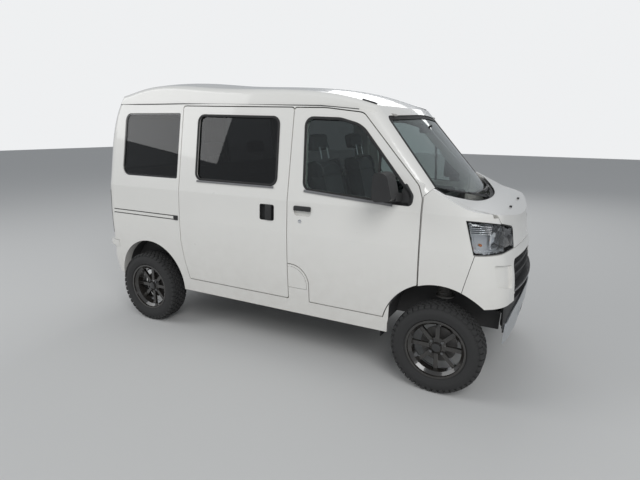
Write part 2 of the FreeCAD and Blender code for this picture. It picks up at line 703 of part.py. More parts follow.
def tongue_section(y):
    """Section behind the bonnet's rear edge, below the belt, where nothing may lie under the cowl."""
    low, high = size("belt_height") - 90, size("belt_height") + 1
    corners = ((900, low), (screen_foot(y, low) + 37, low), (screen_foot(y, high) + 37, high), (900, high))
    return Part.makePolygon([Vector(x, y, z) for x, z in corners + corners[:1]])


tongue = Part.makeLoft([tongue_section(190 * i) for i in range(-4, 5)], True, True)
bonnet = solid_only(NOSE.common(bonnet_block).cut([cowl_cut, tongue]))
grown_bonnet = front_block([(y, z, r) for y, z, r in grown(BONNET_FRONT, GAP)], 1150, HALF_LENGTH + 20)
grown_lamp = front_block(grown(LAMP_FRONT, 3), 1200, HALF_LENGTH + 20).common(left_slab(grown(LAMP_SIDE, 3), 0))
fender = NOSE_SHELL.common(left_slab(grown(FENDER_ZONE, -GAP / 2), 0)).cut(box(900, 1700, 0, 640, 1130, 1420))
fender = fender.cut([grown_bonnet, grown_lamp, screen])
fender = fender.cut(left_slab(grown(BUMPER_SIDE, GAP / 2), 0)).cut(FRONT_ARCH)
fender = solid_only(fender.cut(box(1300, HALF_LENGTH + 20, 0, SIDE, 300, size("bumper_top") + 2)
                               .cut(left_slab(((1200, 0, 0), (1200, 2000, 0), (1449, 916, 0), (1388, 666, 0), (1350, 400, 0))))))
bumper = NOSE_SHELL.common(bumper_block.fuse(mirrored(bumper_block))).cut(FRONT_ARCH).cut(mirrored(FRONT_ARCH))
MOUTH = ((-455, 640, 40), (-470, 862, 50), (470, 862, 50), (455, 640, 40))
mouth = front_block(list(MOUTH), 1400, HALF_LENGTH + 20)
MOUTH_FOOT = ((-400, 500, 0), (-455, 645, 0), (455, 645, 0), (400, 500, 0))
FACET = ((500, 838, 10), (668, 862, 10), (652, 728, 10), (500, 690, 10))
facet = stack(LOW_ROWS, 0, False).cut(stack(LOW_ROWS, 16, False)).common(front_block(list(FACET), 1450, HALF_LENGTH + 20))
bumper = bumper.cut([mouth, front_block(list(MOUTH_FOOT), 1400, HALF_LENGTH + 20), facet, mirrored(facet)])
bumper = solid_only(bumper)
COWL_LOW, COWL_WIDE, COWL_DROP, COWL_HALF = 1143, 24, 14, 632


def cowl_section(y):
    """Section of the cowl strip at a place across: in front of the glass and below the hood line."""
    foot = screen_foot(y, COWL_LOW) + 1
    (x0, z0), (x1, z1) = HOOD_FOOT
    fall = (z0 - z1) / (x1 - x0)
    corners = [(foot, COWL_LOW), (foot + COWL_WIDE, COWL_LOW)]
    for start in (foot + COWL_WIDE, foot):
        rise = (z0 - COWL_DROP - fall * (start - x0) - COWL_LOW) / (1 - fall * GLASS_SLOPE)
        corners.append((start - GLASS_SLOPE * rise, COWL_LOW + rise))
    return Part.makePolygon([Vector(x, y, z) for x, z in corners + corners[:1]])


cowl = Part.makeLoft([cowl_section(COWL_HALF * i / 4) for i in range(-4, 5)], True, True)
GRILLE_BACK = stack(LOW_ROWS[:3], 45, False)
grille = GRILLE_BACK.cut(stack(LOW_ROWS[:3], 62, False)).common(
    front_block([(-450, 400, 60), (-453, 780, 30), (453, 780, 30), (450, 400, 60)], 1400, HALF_LENGTH))
grille = solid_only(grille)


def revolved(profile, origin, axis):
    """Solid of revolution of a closed profile (along, radius) about an axis."""
    wire = Part.makePolygon([Vector(0, a, b) for a, b in profile] + [Vector(0, *profile[0])])
    solid = Part.Face(wire).revolve(Vector(0, 0, 0), Vector(0, 1, 0), 360)
    solid.Placement = Placement(origin, Rotation(Vector(0, 1, 0), axis))
    return solid


# Rear bumper: rows give height, outset beyond the body.
def rear_bumper():
    """Ribbed bumper round the rear corners, behind the rear wheels."""
    levels = ((372, 62), (430, 40), (520, 30), (596, 40), (622, 2), (size("rear_bumper_top") - 3, 0))
    wires = []
    for z, inset in levels:
        half = half_width(z) - 4 + max(46 - inset, 0) * 0.1
        wires.append(plan_outline(z, half, REAR + inset, HALF_LENGTH - 30, size("nose_corner"), size("nose_bow_radius")))
    outer = Part.makeLoft(wires, True, True)
    inner = stack(LOW_ROWS, 44, False)
    ring = outer.common(box(REAR - 20, REAR + 192, -SIDE, SIDE, 372, 700)).cut(inner)
    return solid_only(ring.cut(REAR_ARCH).cut(mirrored(REAR_ARCH)))


rear_guard = rear_bumper()
TAIL_LAMP = ((672, 730, 14), (672, 1090, 20), (SIDE, 1090, 0), (SIDE, 730, 0))
tail_block = front_block(list(TAIL_LAMP), REAR - 40, REAR + 128)
tail_lamp = solid_only(LEFT_SHELL.common(tail_block))
side_left = solid_only(side_left.cut(tail_lamp))
side_right = solid_only(side_right.cut(mirrored(tail_lamp)))

# Floor with its wheel houses and the raised engine box under the front seats.
WALL = size("wheelhouse_wall")


def wheel_house(x, radius, y_inner):
    """Half shell over one wheel, closed on its inner side."""
    top = size("arch_height")
    y_out = HALF_WIDTH
    outer = Part.makeCylinder(radius + WALL, y_out - y_inner + WALL, Vector(x, y_inner - WALL, top), Vector(0, 1, 0))
    inner = Part.makeCylinder(radius, y_out - y_inner + 10, Vector(x, y_inner, top), Vector(0, 1, 0))
    return outer.cut(inner).common(box(x - 500, x + 500, 0, SIDE, top + 20, 1200))


REAR_HOUSE = (size("rear_arch_x"), size("rear_arch_radius") + 6, 545)
FRONT_HOUSE = (FRONT_AXLE_X, size("arch_radius") + size("house_gap"), 398)
rear_house = wheel_house(*REAR_HOUSE)
front_house = wheel_house(*FRONT_HOUSE)
FLOOR_TOP = size("floor_height")
FLOOR_LOW = FLOOR_TOP - size("floor_thickness")
floor_half = half_width(FLOOR_LOW) - size("wall") - 0.5
FIT = 0.5
BULKHEAD_X = DOOR_X - 10
floor_sheet = box(REAR + 98, BULKHEAD_X - FIT, -floor_half, floor_half, FLOOR_LOW, FLOOR_TOP)
BOX_REAR, BOX_FRONT, BOX_TOP, BOX_WALL = 330, 830, 800, 6
seat_box = box(BOX_REAR, BOX_FRONT, -floor_half + 10, floor_half - 10, FLOOR_TOP + FIT, BOX_TOP).cut(
    box(BOX_REAR + BOX_WALL, BOX_FRONT - BOX_WALL, -floor_half + 16, floor_half - 16, FLOOR_LOW, BOX_TOP - BOX_WALL))
engine_hole = box(BOX_REAR + BOX_WALL, BOX_FRONT - BOX_WALL, -floor_half + 16, floor_half - 16, FLOOR_LOW - 5, FLOOR_TOP + 5)
bulkhead = box(BULKHEAD_X, DOOR_X - 4, -floor_half, floor_half, FLOOR_LOW, 1140)
LOAD_MAT = (-1500, -860, -500, 500)
load_mat = box(*LOAD_MAT, FLOOR_TOP - 1, FLOOR_TOP + 6)
inside_body = stack(LOW_ROWS, size("wall") + 1, False)
floor_pan = floor_sheet.cut(engine_hole)
wells = []
for x, radius, y_in in (REAR_HOUSE, FRONT_HOUSE):
    well = Part.makeCylinder(radius + WALL + FIT, 400, Vector(x, y_in - WALL - FIT, size("arch_height")), Vector(0, 1, 0))
    wells += [well, mirrored(well)]
notches = [box(x0, x1, y0, y1, 0, 1300) for x0, x1 in ((148, 236), (DOOR_X - 68, DOOR_X + 10))
           for y0, y1 in ((floor_half - 48, SIDE), (-SIDE, 48 - floor_half))]
notches.append(box(186, 380, -SIDE, 48 - floor_half, 0, 720))
floor_pan = solid_only(floor_pan.cut(wells + notches).common(inside_body).fuse(load_mat))
bulkhead = solid_only(bulkhead.cut(wells[2:] + notches).common(inside_body))
seat_box = solid_only(seat_box.cut(notches).common(inside_body))
rear_house = solid_only(rear_house.cut(notches).common(inside_body))
front_house = solid_only(front_house.cut(notches).common(inside_body).cut(box(HALF_LENGTH - 90, HALF_LENGTH, -SIDE, SIDE, 0, 2000)))

RAIL_Y, RAIL_LOW, RAIL_WIDE = 330, 530, 60
rails = [box(REAR + 110, 1600, y, y + RAIL_WIDE, RAIL_LOW, FLOOR_LOW) for y in (-RAIL_Y - RAIL_WIDE, RAIL_Y)]
crossings = [box(x, x + 50, -RAIL_Y, RAIL_Y, RAIL_LOW + 10, FLOOR_LOW) for x in (REAR + 110, -700, -60, 860, 1510)]
OUTRIGGER = ((385, RAIL_LOW + 10, 0), (385, FLOOR_LOW, 0), (600, FLOOR_LOW, 0), (630, 425, 30), (670, 425, 0), (670, 365, 0), (560, 365, 60))
outriggers = Part.makeCompound([front_block(list(OUTRIGGER), x, x + 50) for x in (-700, -60)]).cut(LEFT_SHELL)
underframe = rails[0].fuse(rails[1:] + crossings + outriggers.Solids + mirrored(outriggers).Solids)
underframe = underframe.cut(box(336, 824, -300, 300, 0, 900))
EYE_Y, EYE_LOW, EYE_THICK = 300, 470, 14
EYE_X = (1566, REAR + 140)
tow_eyes = []
for number, eye_x in enumerate(EYE_X, 1):
    lug = block(f"eye_plate_{number}", (eye_x - 27, EYE_Y - 27, EYE_LOW), 54, RAIL_Y + 77 - EYE_Y, EYE_THICK)
    web = block(f"eye_web_{number}", (eye_x - 27, RAIL_Y + 36, EYE_LOW), 54, 14, RAIL_LOW - EYE_LOW)
    eye = doc.addObject("Part::Cut", f"eye_{number}")
    eye.Base = whole(f"eye_lug_{number}", [lug, web])
    eye.Tool = rod(f"eye_hole_{number}", (eye_x, EYE_Y, EYE_LOW - 5), Rotation(),
                   cell("tow_eye_bore") / 2, EYE_THICK + 10)
    tow_eyes.append(eye)
gathered("tow_eyes", tow_eyes)
underframe = solid_only(underframe)


def tyre(name, at, turn):
    """Tyre ring about Y, from its inner face outwards."""
    wide, low, top = cell("tyre_width"), cell("rim_radius") + 0.5, cell("tyre_radius")
    return turned_body(name, ((0, low), (14, top), (wide - 14, top), (wide, low)), at, turn)


def rim(name, at, turn):
    """Deep spoked rim about Y, from its inner lip outwards."""
    wide, top, hub = cell("rim_width"), cell("rim_radius"), cell("hub_radius")
    barrel = turned_body(f"{name}_barrel", (
        (0, top), (0, top - 12), (14, top - 16), (60, top - 34), (wide - 30, top - 34),
        (wide - 12, top - 16), (wide, top - 13), (wide, top), (wide - 10, top),
        (wide - 22, top - 11), (wide - 40, top - 24), (62, top - 24), (22, top - 11), (10, top)), at, turn)
    centre = turned_body(f"{name}_hub", ((62, 0.5), (62, hub), (84, hub), (96, 34), (104, 30), (104, 0.5)), at, turn)
    pieces = [barrel, centre]
    place = Placement(Vector(*[float(v) for v in at]), turn)
    for i in range(int(size("spoke_count"))):
        spoke = block(f"{name}_spoke_{i}", (0, 0, 0), 26, 22, top - 74)
        angle = Rotation(Vector(0, 1, 0), 360 * i / size("spoke_count"))
        spoke.Placement = place.multiply(Placement(angle.multVec(Vector(-13, 70, 46)), angle))
        pieces.append(spoke)
    holes = []
    for i in range(int(size("stud_count"))):
        angle = math.radians(360 * i / size("stud_count") + 45)
        reach = size("stud_circle") / 2
        hole = rod(f"{name}_hole_{i}", (0, 0, 0), ACROSS, 7, 60)
        start = Vector(math.sin(angle) * reach, 50, math.cos(angle) * reach)
        hole.Placement = place.multiply(Placement(start, ACROSS))
        holes.append(hole)
    cut = doc.addObject("Part::Cut", name)
    cut.Label = name
    cut.Base = whole(f"{name}_solid", pieces)
    cut.Tool = whole(f"{name}_holes", holes)
    return cut


WHEELS = (("front_left", PIN_X, 1), ("front_right", PIN_X, -1), ("rear_left", DRUM_X, 1), ("rear_right", DRUM_X, -1))
HALF_TURN = Rotation(Vector(0, 0, 1), 180)
for corner, x, side in WHEELS:
    for make, wide in ((tyre, cell("tyre_width")), (rim, cell("rim_width"))):
        face = (TRACK_Y - wide / 2) * side
        node(make(f"{make.__name__}_{corner}", (x, face, AXLE_Z), Rotation() if side > 0 else HALF_TURN))
STRUT_TOP = 694.0
HUB_FACE = TRACK_Y - cell("rim_width") / 2 + 62
coil = [(STRUT_TOP - 104, 58), (STRUT_TOP - 96, 58)]
for i in range(5):
    coil += [(STRUT_TOP - 92 + 18 * i, 42), (STRUT_TOP - 83 + 18 * i, 52)]
UPWARD = Rotation(Vector(0, 1, 0), Vector(0, 0, 1))
knuckle_pieces = [
    block("upright", (PIN_X - 26, PIN_Y - 22, AXLE_Z - 88), 52, 36, 192),
    rod("stub", (PIN_X, PIN_Y, AXLE_Z), ACROSS, 30, HUB_FACE - 1 - PIN_Y),
    rod("brake_disc", (PIN_X, HUB_FACE - 34, AXLE_Z), ACROSS, 116, 12),
    block("steering_arm", (PIN_X - 120, PIN_Y - 12, AXLE_Z - 60), 120, 20, 18),
    rod("strut", (PIN_X, PIN_Y, AXLE_Z + 60), Rotation(), 20, STRUT_TOP - 60 - AXLE_Z),
    turned_body("coil_spring", [(STRUT_TOP - 104, 19)] + coil + [(STRUT_TOP - 2, 42), (STRUT_TOP - 2, 19)],
                (PIN_X, PIN_Y, 0), UPWARD),
]
node(whole("knuckle_left", knuckle_pieces))
node(mirror_of("knuckle_right", doc.getObject("knuckle_left")))

ARM_LOW = AXLE_Z - 113
arm_left = block("lower_arm", (PIN_X - 60, 250, ARM_LOW), 120, PIN_Y - 230, 22)
beam_pieces = [
    arm_left, mirror_of("lower_arm_right", arm_left),
    block("cross_member", (PIN_X - 50, -290, 240), 100, 580, 60),
    block("cross_member_top", (PIN_X - 40, -388, 285), 80, 776, 18),
]
for number, (mount_y, post_y) in enumerate(((-292, -388), (248, 332)), 1):
    beam_pieces.append(block(f"arm_mount_{number}", (PIN_X - 60, mount_y, ARM_LOW), 120, 44, 301 - ARM_LOW))
    beam_pieces.append(block(f"beam_post_{number}", (PIN_X - 40, post_y, 299), 80, 56, RAIL_LOW - 299))
node(whole("front_suspension", beam_pieces))

axle_pieces = [
    rod("axle_tube", (DRUM_X, -556, AXLE_Z), ACROSS, 34, 1112),
    rod("spindle", (DRUM_X, 2 - HUB_FACE, AXLE_Z), ACROSS, 28, (HUB_FACE - 2) * 2),
    rod("drum_right", (DRUM_X, 1 - HUB_FACE, AXLE_Z), ACROSS, 104, 60),
    rod("drum_left", (DRUM_X, HUB_FACE - 61, AXLE_Z), ACROSS, 104, 60),
    turned_body("axle_case", ((-95, 0), (-95, 34), (-60, 96), (-24, 116), (24, 116), (60, 96), (95, 34), (95, 0)),
                (DRUM_X, 40, AXLE_Z), Rotation()),
    rod("rear_spring_right", (DRUM_X, -RAIL_Y - 30, AXLE_Z), Rotation(), 48, RAIL_LOW - AXLE_Z),
    rod("rear_spring_left", (DRUM_X, RAIL_Y + 30, AXLE_Z), Rotation(), 48, RAIL_LOW - AXLE_Z),
]
node(whole("rear_axle", axle_pieces))

TAIL_SHAFT = Rotation(Vector(0, 0, 1), Vector(-1, 0, -0.06))
node(whole("engine_block", [
    block("engine", (360, -260, 330), 440, 520, 450),
    block("gearbox", (-80, -110, 340), 441, 220, 185),
    rod("tail_shaft", (-60, 0, 430), TAIL_SHAFT, 38, 830),
]))
PIPE_Y, PIPE_Z, PIPE_RADIUS = -200, 440, 24
node(whole("exhaust", [
    rod("front_pipe", (-1500, PIPE_Y, PIPE_Z), ALONG, PIPE_RADIUS, 1500),
    rod("muffler", (-620, PIPE_Y, PIPE_Z - 10), ALONG, 92, 420),
    rod("tail_pipe", (-1590, PIPE_Y, PIPE_Z), ALONG, PIPE_RADIUS, 95),
]))
TANK = ((-630, 350), (-630, RAIL_LOW - 2), (-80, RAIL_LOW - 2), (-80, 350))
node(padded_body("fuel_tank", TANK, 200, 400, 30))

SEAT_LOW = 801.0


CUSHION = ((345, SEAT_LOW), (345, 905), (800, 925), (815, SEAT_LOW))
BACK = ((330, 880), (225, 1440), (300, 1450), (450, 900))
HEAD = ((230, 1400), (206, 1600), (286, 1606), (290, 1410))
SEAT_HALF = cell("seat_width") / 2


def front_seat(name, y):
    """Front seat as plain soft solids: cushion, back and head rest."""
    return whole(name, [
        padded_body(f"{name}_cushion", CUSHION, y - SEAT_HALF.value, cell("seat_width"), 18),
        padded_body(f"{name}_back", BACK, y - SEAT_HALF.value + 12, cell("seat_width") - 24, 24),
        padded_body(f"{name}_head", HEAD, y - 140, 280, 24),
    ])


SEAT_Y = 325
node(front_seat("driver_seat", -SEAT_Y))
node(front_seat("passenger_seat", SEAT_Y))
BENCH_CUSHION = ((-720, 790), (-720, 925), (-270, 950), (-262, 800))
BENCH_BACK = ((-720, 900), (-815, 1370), (-725, 1385), (-610, 920))
BENCH_HEAD = ((-816, 1372), (-838, 1530), (-752, 1540), (-730, 1374))
bench_pieces = [
    block("bench_low", (-700, -520, FLOOR_TOP + 1), 370, 1040, 799 - FLOOR_TOP),
    padded_body("bench_cushion", BENCH_CUSHION, -600, 1200, 24),
    padded_body("bench_back", BENCH_BACK, -600, 1200, 24),
]
for number, y in enumerate((-300, 300), 1):
    bench_pieces.append(padded_body(f"bench_head_{number}", BENCH_HEAD, y - 120, 240, 24))
node(whole("rear_bench", bench_pieces))

DASH_FRONT = DOOR_X - 11
DASH = ((DASH_FRONT, 820, 0), (1010, 820, 30), (960, 1010, 60), (975, 1110, 40), (1080, 1140, 30), (DASH_FRONT, 1135, 0))
dashboard = side_block(list(DASH), -HALF_WIDTH + 130, HALF_WIDTH - 130)
RING = size("wheel_diameter") / 2
wheel_ring = revolved([(14 * math.sin(math.radians(a)), RING + 14 * math.cos(math.radians(a))) for a in range(0, 360, 45)],
                      Vector(0, 0, 0), Vector(0, 0, 1))
wheel_hub = Part.makeCylinder(62, 30, Vector(0, 0, -26))
column = Part.makeCylinder(24, 250, Vector(0, 0, -270))
bars = [box(-15, 15, 30, size("wheel_diameter") / 2, -20, -6), box(-15, 15, -size("wheel_diameter") / 2, -30, -20, -6),
        box(-size("wheel_diameter") / 2, -30, -15, 15, -20, -6)]
steering_wheel = wheel_ring.fuse([wheel_hub, column] + bars)
steering_wheel.Placement = Placement(Vector(815, -325, 1165), Rotation(Vector(0, 0, 1), Vector(-0.72, 0, 0.69)))
steering_wheel = solid_only(steering_wheel.cut(dashboard))


def mirror():
    """Left door mirror: rounded housing on an arm and a sail plate."""
    housing = side_block([(880, 1210, 30), (884, 1380, 30), (968, 1380, 45), (1006, 1222, 25)], 790, 930)
    arm = front_block([(716, 1200, 0), (716, 1250, 8), (840, 1262, 8), (840, 1214, 8)], 950, 1000)
    return solid_only(housing.fuse(arm).cut(front_left))


mirror_left = mirror()
VALANCE = ((-560, 405, 60), (-600, size("bumper_bottom") - 3, 10), (600, size("bumper_bottom") - 3, 10), (560, 405, 60))
steer_space = [Part.makeCylinder(size("steer_reach"), 620, Vector(FRONT_AXLE_X, y, 0)) for y in (-PIN_Y.value, PIN_Y.value)]
valance = stack(LOW_ROWS[:3], 14, False).cut(stack(LOW_ROWS[:3], 50, False))
valance = valance.common(front_block(list(VALANCE), 1450, HALF_LENGTH + 10)).cut(steer_space)
GRILLE_BAR = ((-452, 652, 8), (-452, 676, 8), (452, 676, 8), (452, 652, 8))
grille_bar = stack(LOW_ROWS, 0, False).cut(stack(LOW_ROWS, 56, False))
grille_bar = grille_bar.common(front_block(list(GRILLE_BAR), 1400, HALF_LENGTH + 10))
ARM = ((1512, RAIL_LOW + 10, 0), (1558, RAIL_LOW + 10, 0), (1681, 500, 0), (1681, 436, 0))
ARM_SLOT = ((1440, RAIL_LOW + 30, 0), (1590, RAIL_LOW + 30, 0), (1710, 530, 0), (1710, 410, 0))
guard_arms = [side_block(list(ARM), y, y + 16) for y in (-248, 232)]
arm_slots = [side_block(list(ARM_SLOT), y, y + 30) for y in (-255, 225)]
grille = solid_only(grille.fuse([valance, grille_bar]).cut([bumper] + arm_slots))
GUARD = ((-525, 296, 8), (-520, 458, 40), (-417, 526, 200), (-150, 602, 300), (150, 602, 300), (417, 526, 200),
         (520, 458, 40), (525, 296, 8), (451, 345, 60), (285, 385, 150), (150, 480, 150), (-150, 480, 150),
         (-285, 385, 150), (-451, 345, 60))
guard_skin = stack(LOW_ROWS[:2], 0, True).cut(stack(LOW_ROWS[:2], 7, True))
under_guard = guard_skin.common(front_block(list(GUARD), 1400, HALF_LENGTH + 10))
under_guard = solid_only(under_guard.fuse(guard_arms))

PLAIN = {
    "side_frame_left": side_left, "side_frame_right": side_right, "roof_panel": roof,
    "windscreen": screen, "sliding_door_left": slide_left, "sliding_door_right": mirrored(slide_left),
    "side_glass": Part.makeCompound([slide_glass, mirrored(slide_glass), quarter_glass, mirrored(quarter_glass)]),
    "front_door_left": front_left, "front_door_right": front_right,
    "door_glass_left": front_glass, "door_glass_right": mirrored(front_glass),
    "tailgate": gate, "tailgate_glass": solid_only(gate_glass), "fuel_lid": solid_only(fuel_lid, 100),
    "bonnet": bonnet, "front_fender_left": fender, "front_fender_right": mirrored(fender),
    "front_bumper": bumper, "headlamps": Part.makeCompound([headlamp, mirrored(headlamp)]),
    "cowl": cowl, "front_grille": grille, "rear_bumper": rear_guard,
    "tail_lamps": Part.makeCompound([tail_lamp, mirrored(tail_lamp)]), "floor_pan": floor_pan,
    "rear_wheel_houses": Part.makeCompound([rear_house, mirrored(rear_house)]),
    "front_wheel_houses": Part.makeCompound([front_house, mirrored(front_house)]),
    "seat_box": seat_box, "bulkhead": bulkhead, "lid_surround": lid_surround,
    "underframe": underframe, "dashboard": dashboard, "steering_wheel": steering_wheel,
    "mirror_left": mirror_left, "mirror_right": mirrored(mirror_left), "under_guard": under_guard,
}
for name, shape in PLAIN.items():
    node(shaped(name, shape))


def finish():
    """Check every object, then write each sub-part to its file."""
    doc.recompute()
    for obj in doc.Objects:
        if "Invalid" in obj.State or "Error" in obj.State:
            raise RuntimeError(f"{obj.Label} failed: {obj.State}")
    for obj in NODES:
        if obj.Shape.isNull() or not obj.Shape.isValid():
            raise RuntimeError(f"{obj.Label} has no valid shape")
    os.makedirs("parts", exist_ok=True)
    for obj in NODES:
        obj.Shape.exportStep(f"parts/{obj.Label}.step")


finish()
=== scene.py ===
"""Looks of a high-roof kei cargo van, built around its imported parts.

The frame is +X forward, +Y to the van's left, +Z up, in metres, with the origin on the ground
midway between the front and rear faces.
"""

import json
import logging
import math
from contextlib import contextmanager
from dataclasses import dataclass
from enum import Enum
from typing import Callable, Iterator, Sequence

import bpy
from mathutils import Matrix, Vector

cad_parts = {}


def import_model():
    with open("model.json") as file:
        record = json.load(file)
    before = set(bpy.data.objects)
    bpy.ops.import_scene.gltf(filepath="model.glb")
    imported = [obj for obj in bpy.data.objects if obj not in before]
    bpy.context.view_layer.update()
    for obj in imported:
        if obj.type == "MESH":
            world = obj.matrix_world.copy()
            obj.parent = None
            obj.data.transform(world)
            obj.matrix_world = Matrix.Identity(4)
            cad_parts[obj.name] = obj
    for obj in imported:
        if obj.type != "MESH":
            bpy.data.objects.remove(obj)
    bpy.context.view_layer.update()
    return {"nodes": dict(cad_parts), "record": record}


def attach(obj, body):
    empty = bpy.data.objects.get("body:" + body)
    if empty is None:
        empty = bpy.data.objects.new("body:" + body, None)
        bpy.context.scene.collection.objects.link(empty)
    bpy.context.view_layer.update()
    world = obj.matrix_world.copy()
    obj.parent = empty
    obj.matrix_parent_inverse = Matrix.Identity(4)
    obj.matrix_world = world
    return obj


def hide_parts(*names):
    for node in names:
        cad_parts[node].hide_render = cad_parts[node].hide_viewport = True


LOG = logging.getLogger("kei_van")
Corner = tuple[float, float, float]
Piece = bpy.types.Object
SIDES = ((1, "left"), (-1, "right"))


class Grain(Enum):
    """Small relief of a finish."""

    NONE = "none"
    ORANGE_PEEL = "orange_peel"
    PEBBLE = "pebble"
    CAST = "cast"
    BRUSHED = "brushed"
    WEAVE = "weave"


DUST_TOP = 0.95
DUST_FULL = 0.25
DUST_COLOUR = (0.36, 0.31, 0.25, 1.0)


@dataclass(frozen=True)
class Finish:
    """One surface finish, with colours as linear values."""

    name: str
    colour: tuple[float, float, float]
    second: tuple[float, float, float]
    roughness: float
    metallic: float = 0.0
    coat: float = 0.0
    sheen: float = 0.0
    grain: Grain = Grain.NONE
    grain_size: float = 0.002
    relief: float = 0.1
    patch_size: float = 0.4
    road_dust: float = 0.0
    clear: float = 0.0

    def material(self) -> bpy.types.Material:
        """Node material of this finish.

        Returns:
            The material, made once and then reused.
        """
        made = bpy.data.materials.get(self.name)
        if made is not None:
            return made
        made = bpy.data.materials.new(self.name)
        made.use_nodes = True
        graph = Graph(made.node_tree)
        shader = made.node_tree.nodes["Principled BSDF"]
        graph.values(shader, {"Metallic": self.metallic, "Coat Weight": self.coat, "Coat Roughness": 0.04,
                              "Sheen Weight": self.sheen, "Transmission Weight": self.clear})
        colour = graph.noise(1.0 / self.patch_size, 4.0).outputs["Fac"]
        colour = graph.mix(colour, (*self.colour, 1.0), (*self.second, 1.0))
        if self.road_dust > 0:
            colour = self._dust(graph, colour)
        graph.join(colour, shader.inputs["Base Color"])
        span = graph.add("ShaderNodeMapRange", {"To Min": max(self.roughness * 0.8, 0.0),
                                                "To Max": min(self.roughness * 1.25, 1.0)})
        graph.join(graph.noise(9.0, 5.0).outputs["Fac"], span.inputs["Value"])
        graph.join(span.outputs["Result"], shader.inputs["Roughness"])
        if self.grain is not Grain.NONE:
            self._relief(graph, shader)
        return made

    def _dust(self, graph: "Graph", colour: bpy.types.NodeSocket) -> bpy.types.NodeSocket:
        """Thin road dust that thickens towards the ground.

        Args:
            graph: Graph of the material.
            colour: Colour below the dust.

        Returns:
            The colour output with dust on it.
        """
        split = graph.add("ShaderNodeSeparateXYZ")
        height = graph.add("ShaderNodeMapRange", {"From Min": DUST_TOP, "From Max": DUST_FULL,
                                                  "To Max": self.road_dust})
        amount = graph.add("ShaderNodeMath")
        amount.operation = "MULTIPLY"
        graph.join(graph.place, split.inputs["Vector"])
        graph.join(split.outputs["Z"], height.inputs["Value"])
        graph.join(height.outputs["Result"], amount.inputs[0])
        graph.join(graph.noise(14.0, 6.0).outputs["Fac"], amount.inputs[1])
        return graph.mix(amount.outputs["Value"], colour, DUST_COLOUR)

    def _relief(self, graph: "Graph", shader: bpy.types.Node) -> None:
        """Bump of the grain.

        Args:
            graph: Graph of the material.
            shader: Surface shader.
        """
        scale = 1.0 / self.grain_size
        along = scale * 0.04 if self.grain is Grain.BRUSHED else scale
        stretch = graph.add("ShaderNodeMapping", {"Scale": (scale, along, scale)})
        graph.join(graph.place, stretch.inputs["Vector"])
        if self.grain is Grain.WEAVE:
            pattern = graph.add("ShaderNodeTexWave", {"Scale": 1.0, "Distortion": 1.5})
            pattern.wave_type = "BANDS"
            pattern.bands_direction = "DIAGONAL"
        elif self.grain is Grain.PEBBLE:
            pattern = graph.add("ShaderNodeTexVoronoi", {"Scale": 1.0})
        else:
            detail = 6.0 if self.grain is Grain.CAST else 2.0
            pattern = graph.add("ShaderNodeTexNoise", {"Scale": 1.0, "Detail": detail})
        graph.join(stretch.outputs["Vector"], pattern.inputs["Vector"])
        bump = graph.add("ShaderNodeBump", {"Strength": self.relief, "Distance": self.grain_size * 0.5})
        height = "Distance" if self.grain is Grain.PEBBLE else "Fac"
        graph.join(pattern.outputs[height], bump.inputs["Height"])
        graph.join(bump.outputs["Normal"], shader.inputs["Normal"])


class Graph:
    """Nodes and links of one material, placed by object coordinates."""

    def __init__(self, tree: bpy.types.NodeTree) -> None:
        """Take a material's tree and give it its coordinates."""
        self.tree = tree
        self.place = self.add("ShaderNodeTexCoord").outputs["Object"]

    @staticmethod
    def values(node: bpy.types.Node, inputs: dict) -> None:
        """Set inputs of a node by name."""
        for name, value in inputs.items():
            node.inputs[name].default_value = value

    def add(self, kind: str, inputs: dict | None = None) -> bpy.types.Node:
        """New node with some of its inputs set."""
        node = self.tree.nodes.new(kind)
        self.values(node, inputs or {})
        return node

    def join(self, source: bpy.types.NodeSocket, target: bpy.types.NodeSocket) -> None:
        """Link an output to an input."""
        self.tree.links.new(source, target)

    def noise(self, scale: float, detail: float) -> bpy.types.Node:
        """Noise in object coordinates."""
        node = self.add("ShaderNodeTexNoise", {"Scale": scale, "Detail": detail})
        self.join(self.place, node.inputs["Vector"])
        return node

    def mix(self, share: bpy.types.NodeSocket, first: bpy.types.NodeSocket | tuple,
            second: tuple[float, ...]) -> bpy.types.NodeSocket:
        """Mix of two colours, of which the first may be a socket."""
        node = self.tree.nodes.new("ShaderNodeMix")
        node.data_type = "RGBA"
        self.join(share, node.inputs["Factor"])
        if isinstance(first, tuple):
            node.inputs["A"].default_value = first
        else:
            self.join(first, node.inputs["A"])
        node.inputs["B"].default_value = second
        return node.outputs["Result"]


BODY_PAINT = Finish("body_white_paint", (0.80, 0.79, 0.755), (0.83, 0.82, 0.785), 0.3, coat=0.9,
                    grain=Grain.ORANGE_PEEL, grain_size=0.004, relief=0.03, road_dust=0.3)
CLEAR_GLASS = Finish("clear_laminated_glass", (0.60, 0.68, 0.66), (0.62, 0.69, 0.67), 0.01, clear=1.0)
DARK_GLASS = Finish("privacy_glass", (0.10, 0.11, 0.11), (0.12, 0.12, 0.12), 0.01, clear=1.0)
LAMP_GLASS = Finish("lamp_lens", (0.93, 0.95, 0.96), (0.95, 0.96, 0.97), 0.01, clear=1.0)
LAMP_RED = Finish("red_lens", (0.45, 0.01, 0.012), (0.5, 0.014, 0.014), 0.12, coat=1.0, grain=Grain.PEBBLE,
                  grain_size=0.006, relief=0.25)
LAMP_AMBER = Finish("amber_lens", (0.75, 0.2, 0.02), (0.8, 0.24, 0.03), 0.15, coat=0.8)
REFLECTOR = Finish("bright_reflector", (0.88, 0.89, 0.90), (0.82, 0.84, 0.86), 0.1, metallic=1.0)
LAMP_BEZEL = Finish("lamp_tray_silver", (0.74, 0.76, 0.78), (0.80, 0.81, 0.83), 0.32, metallic=0.35)
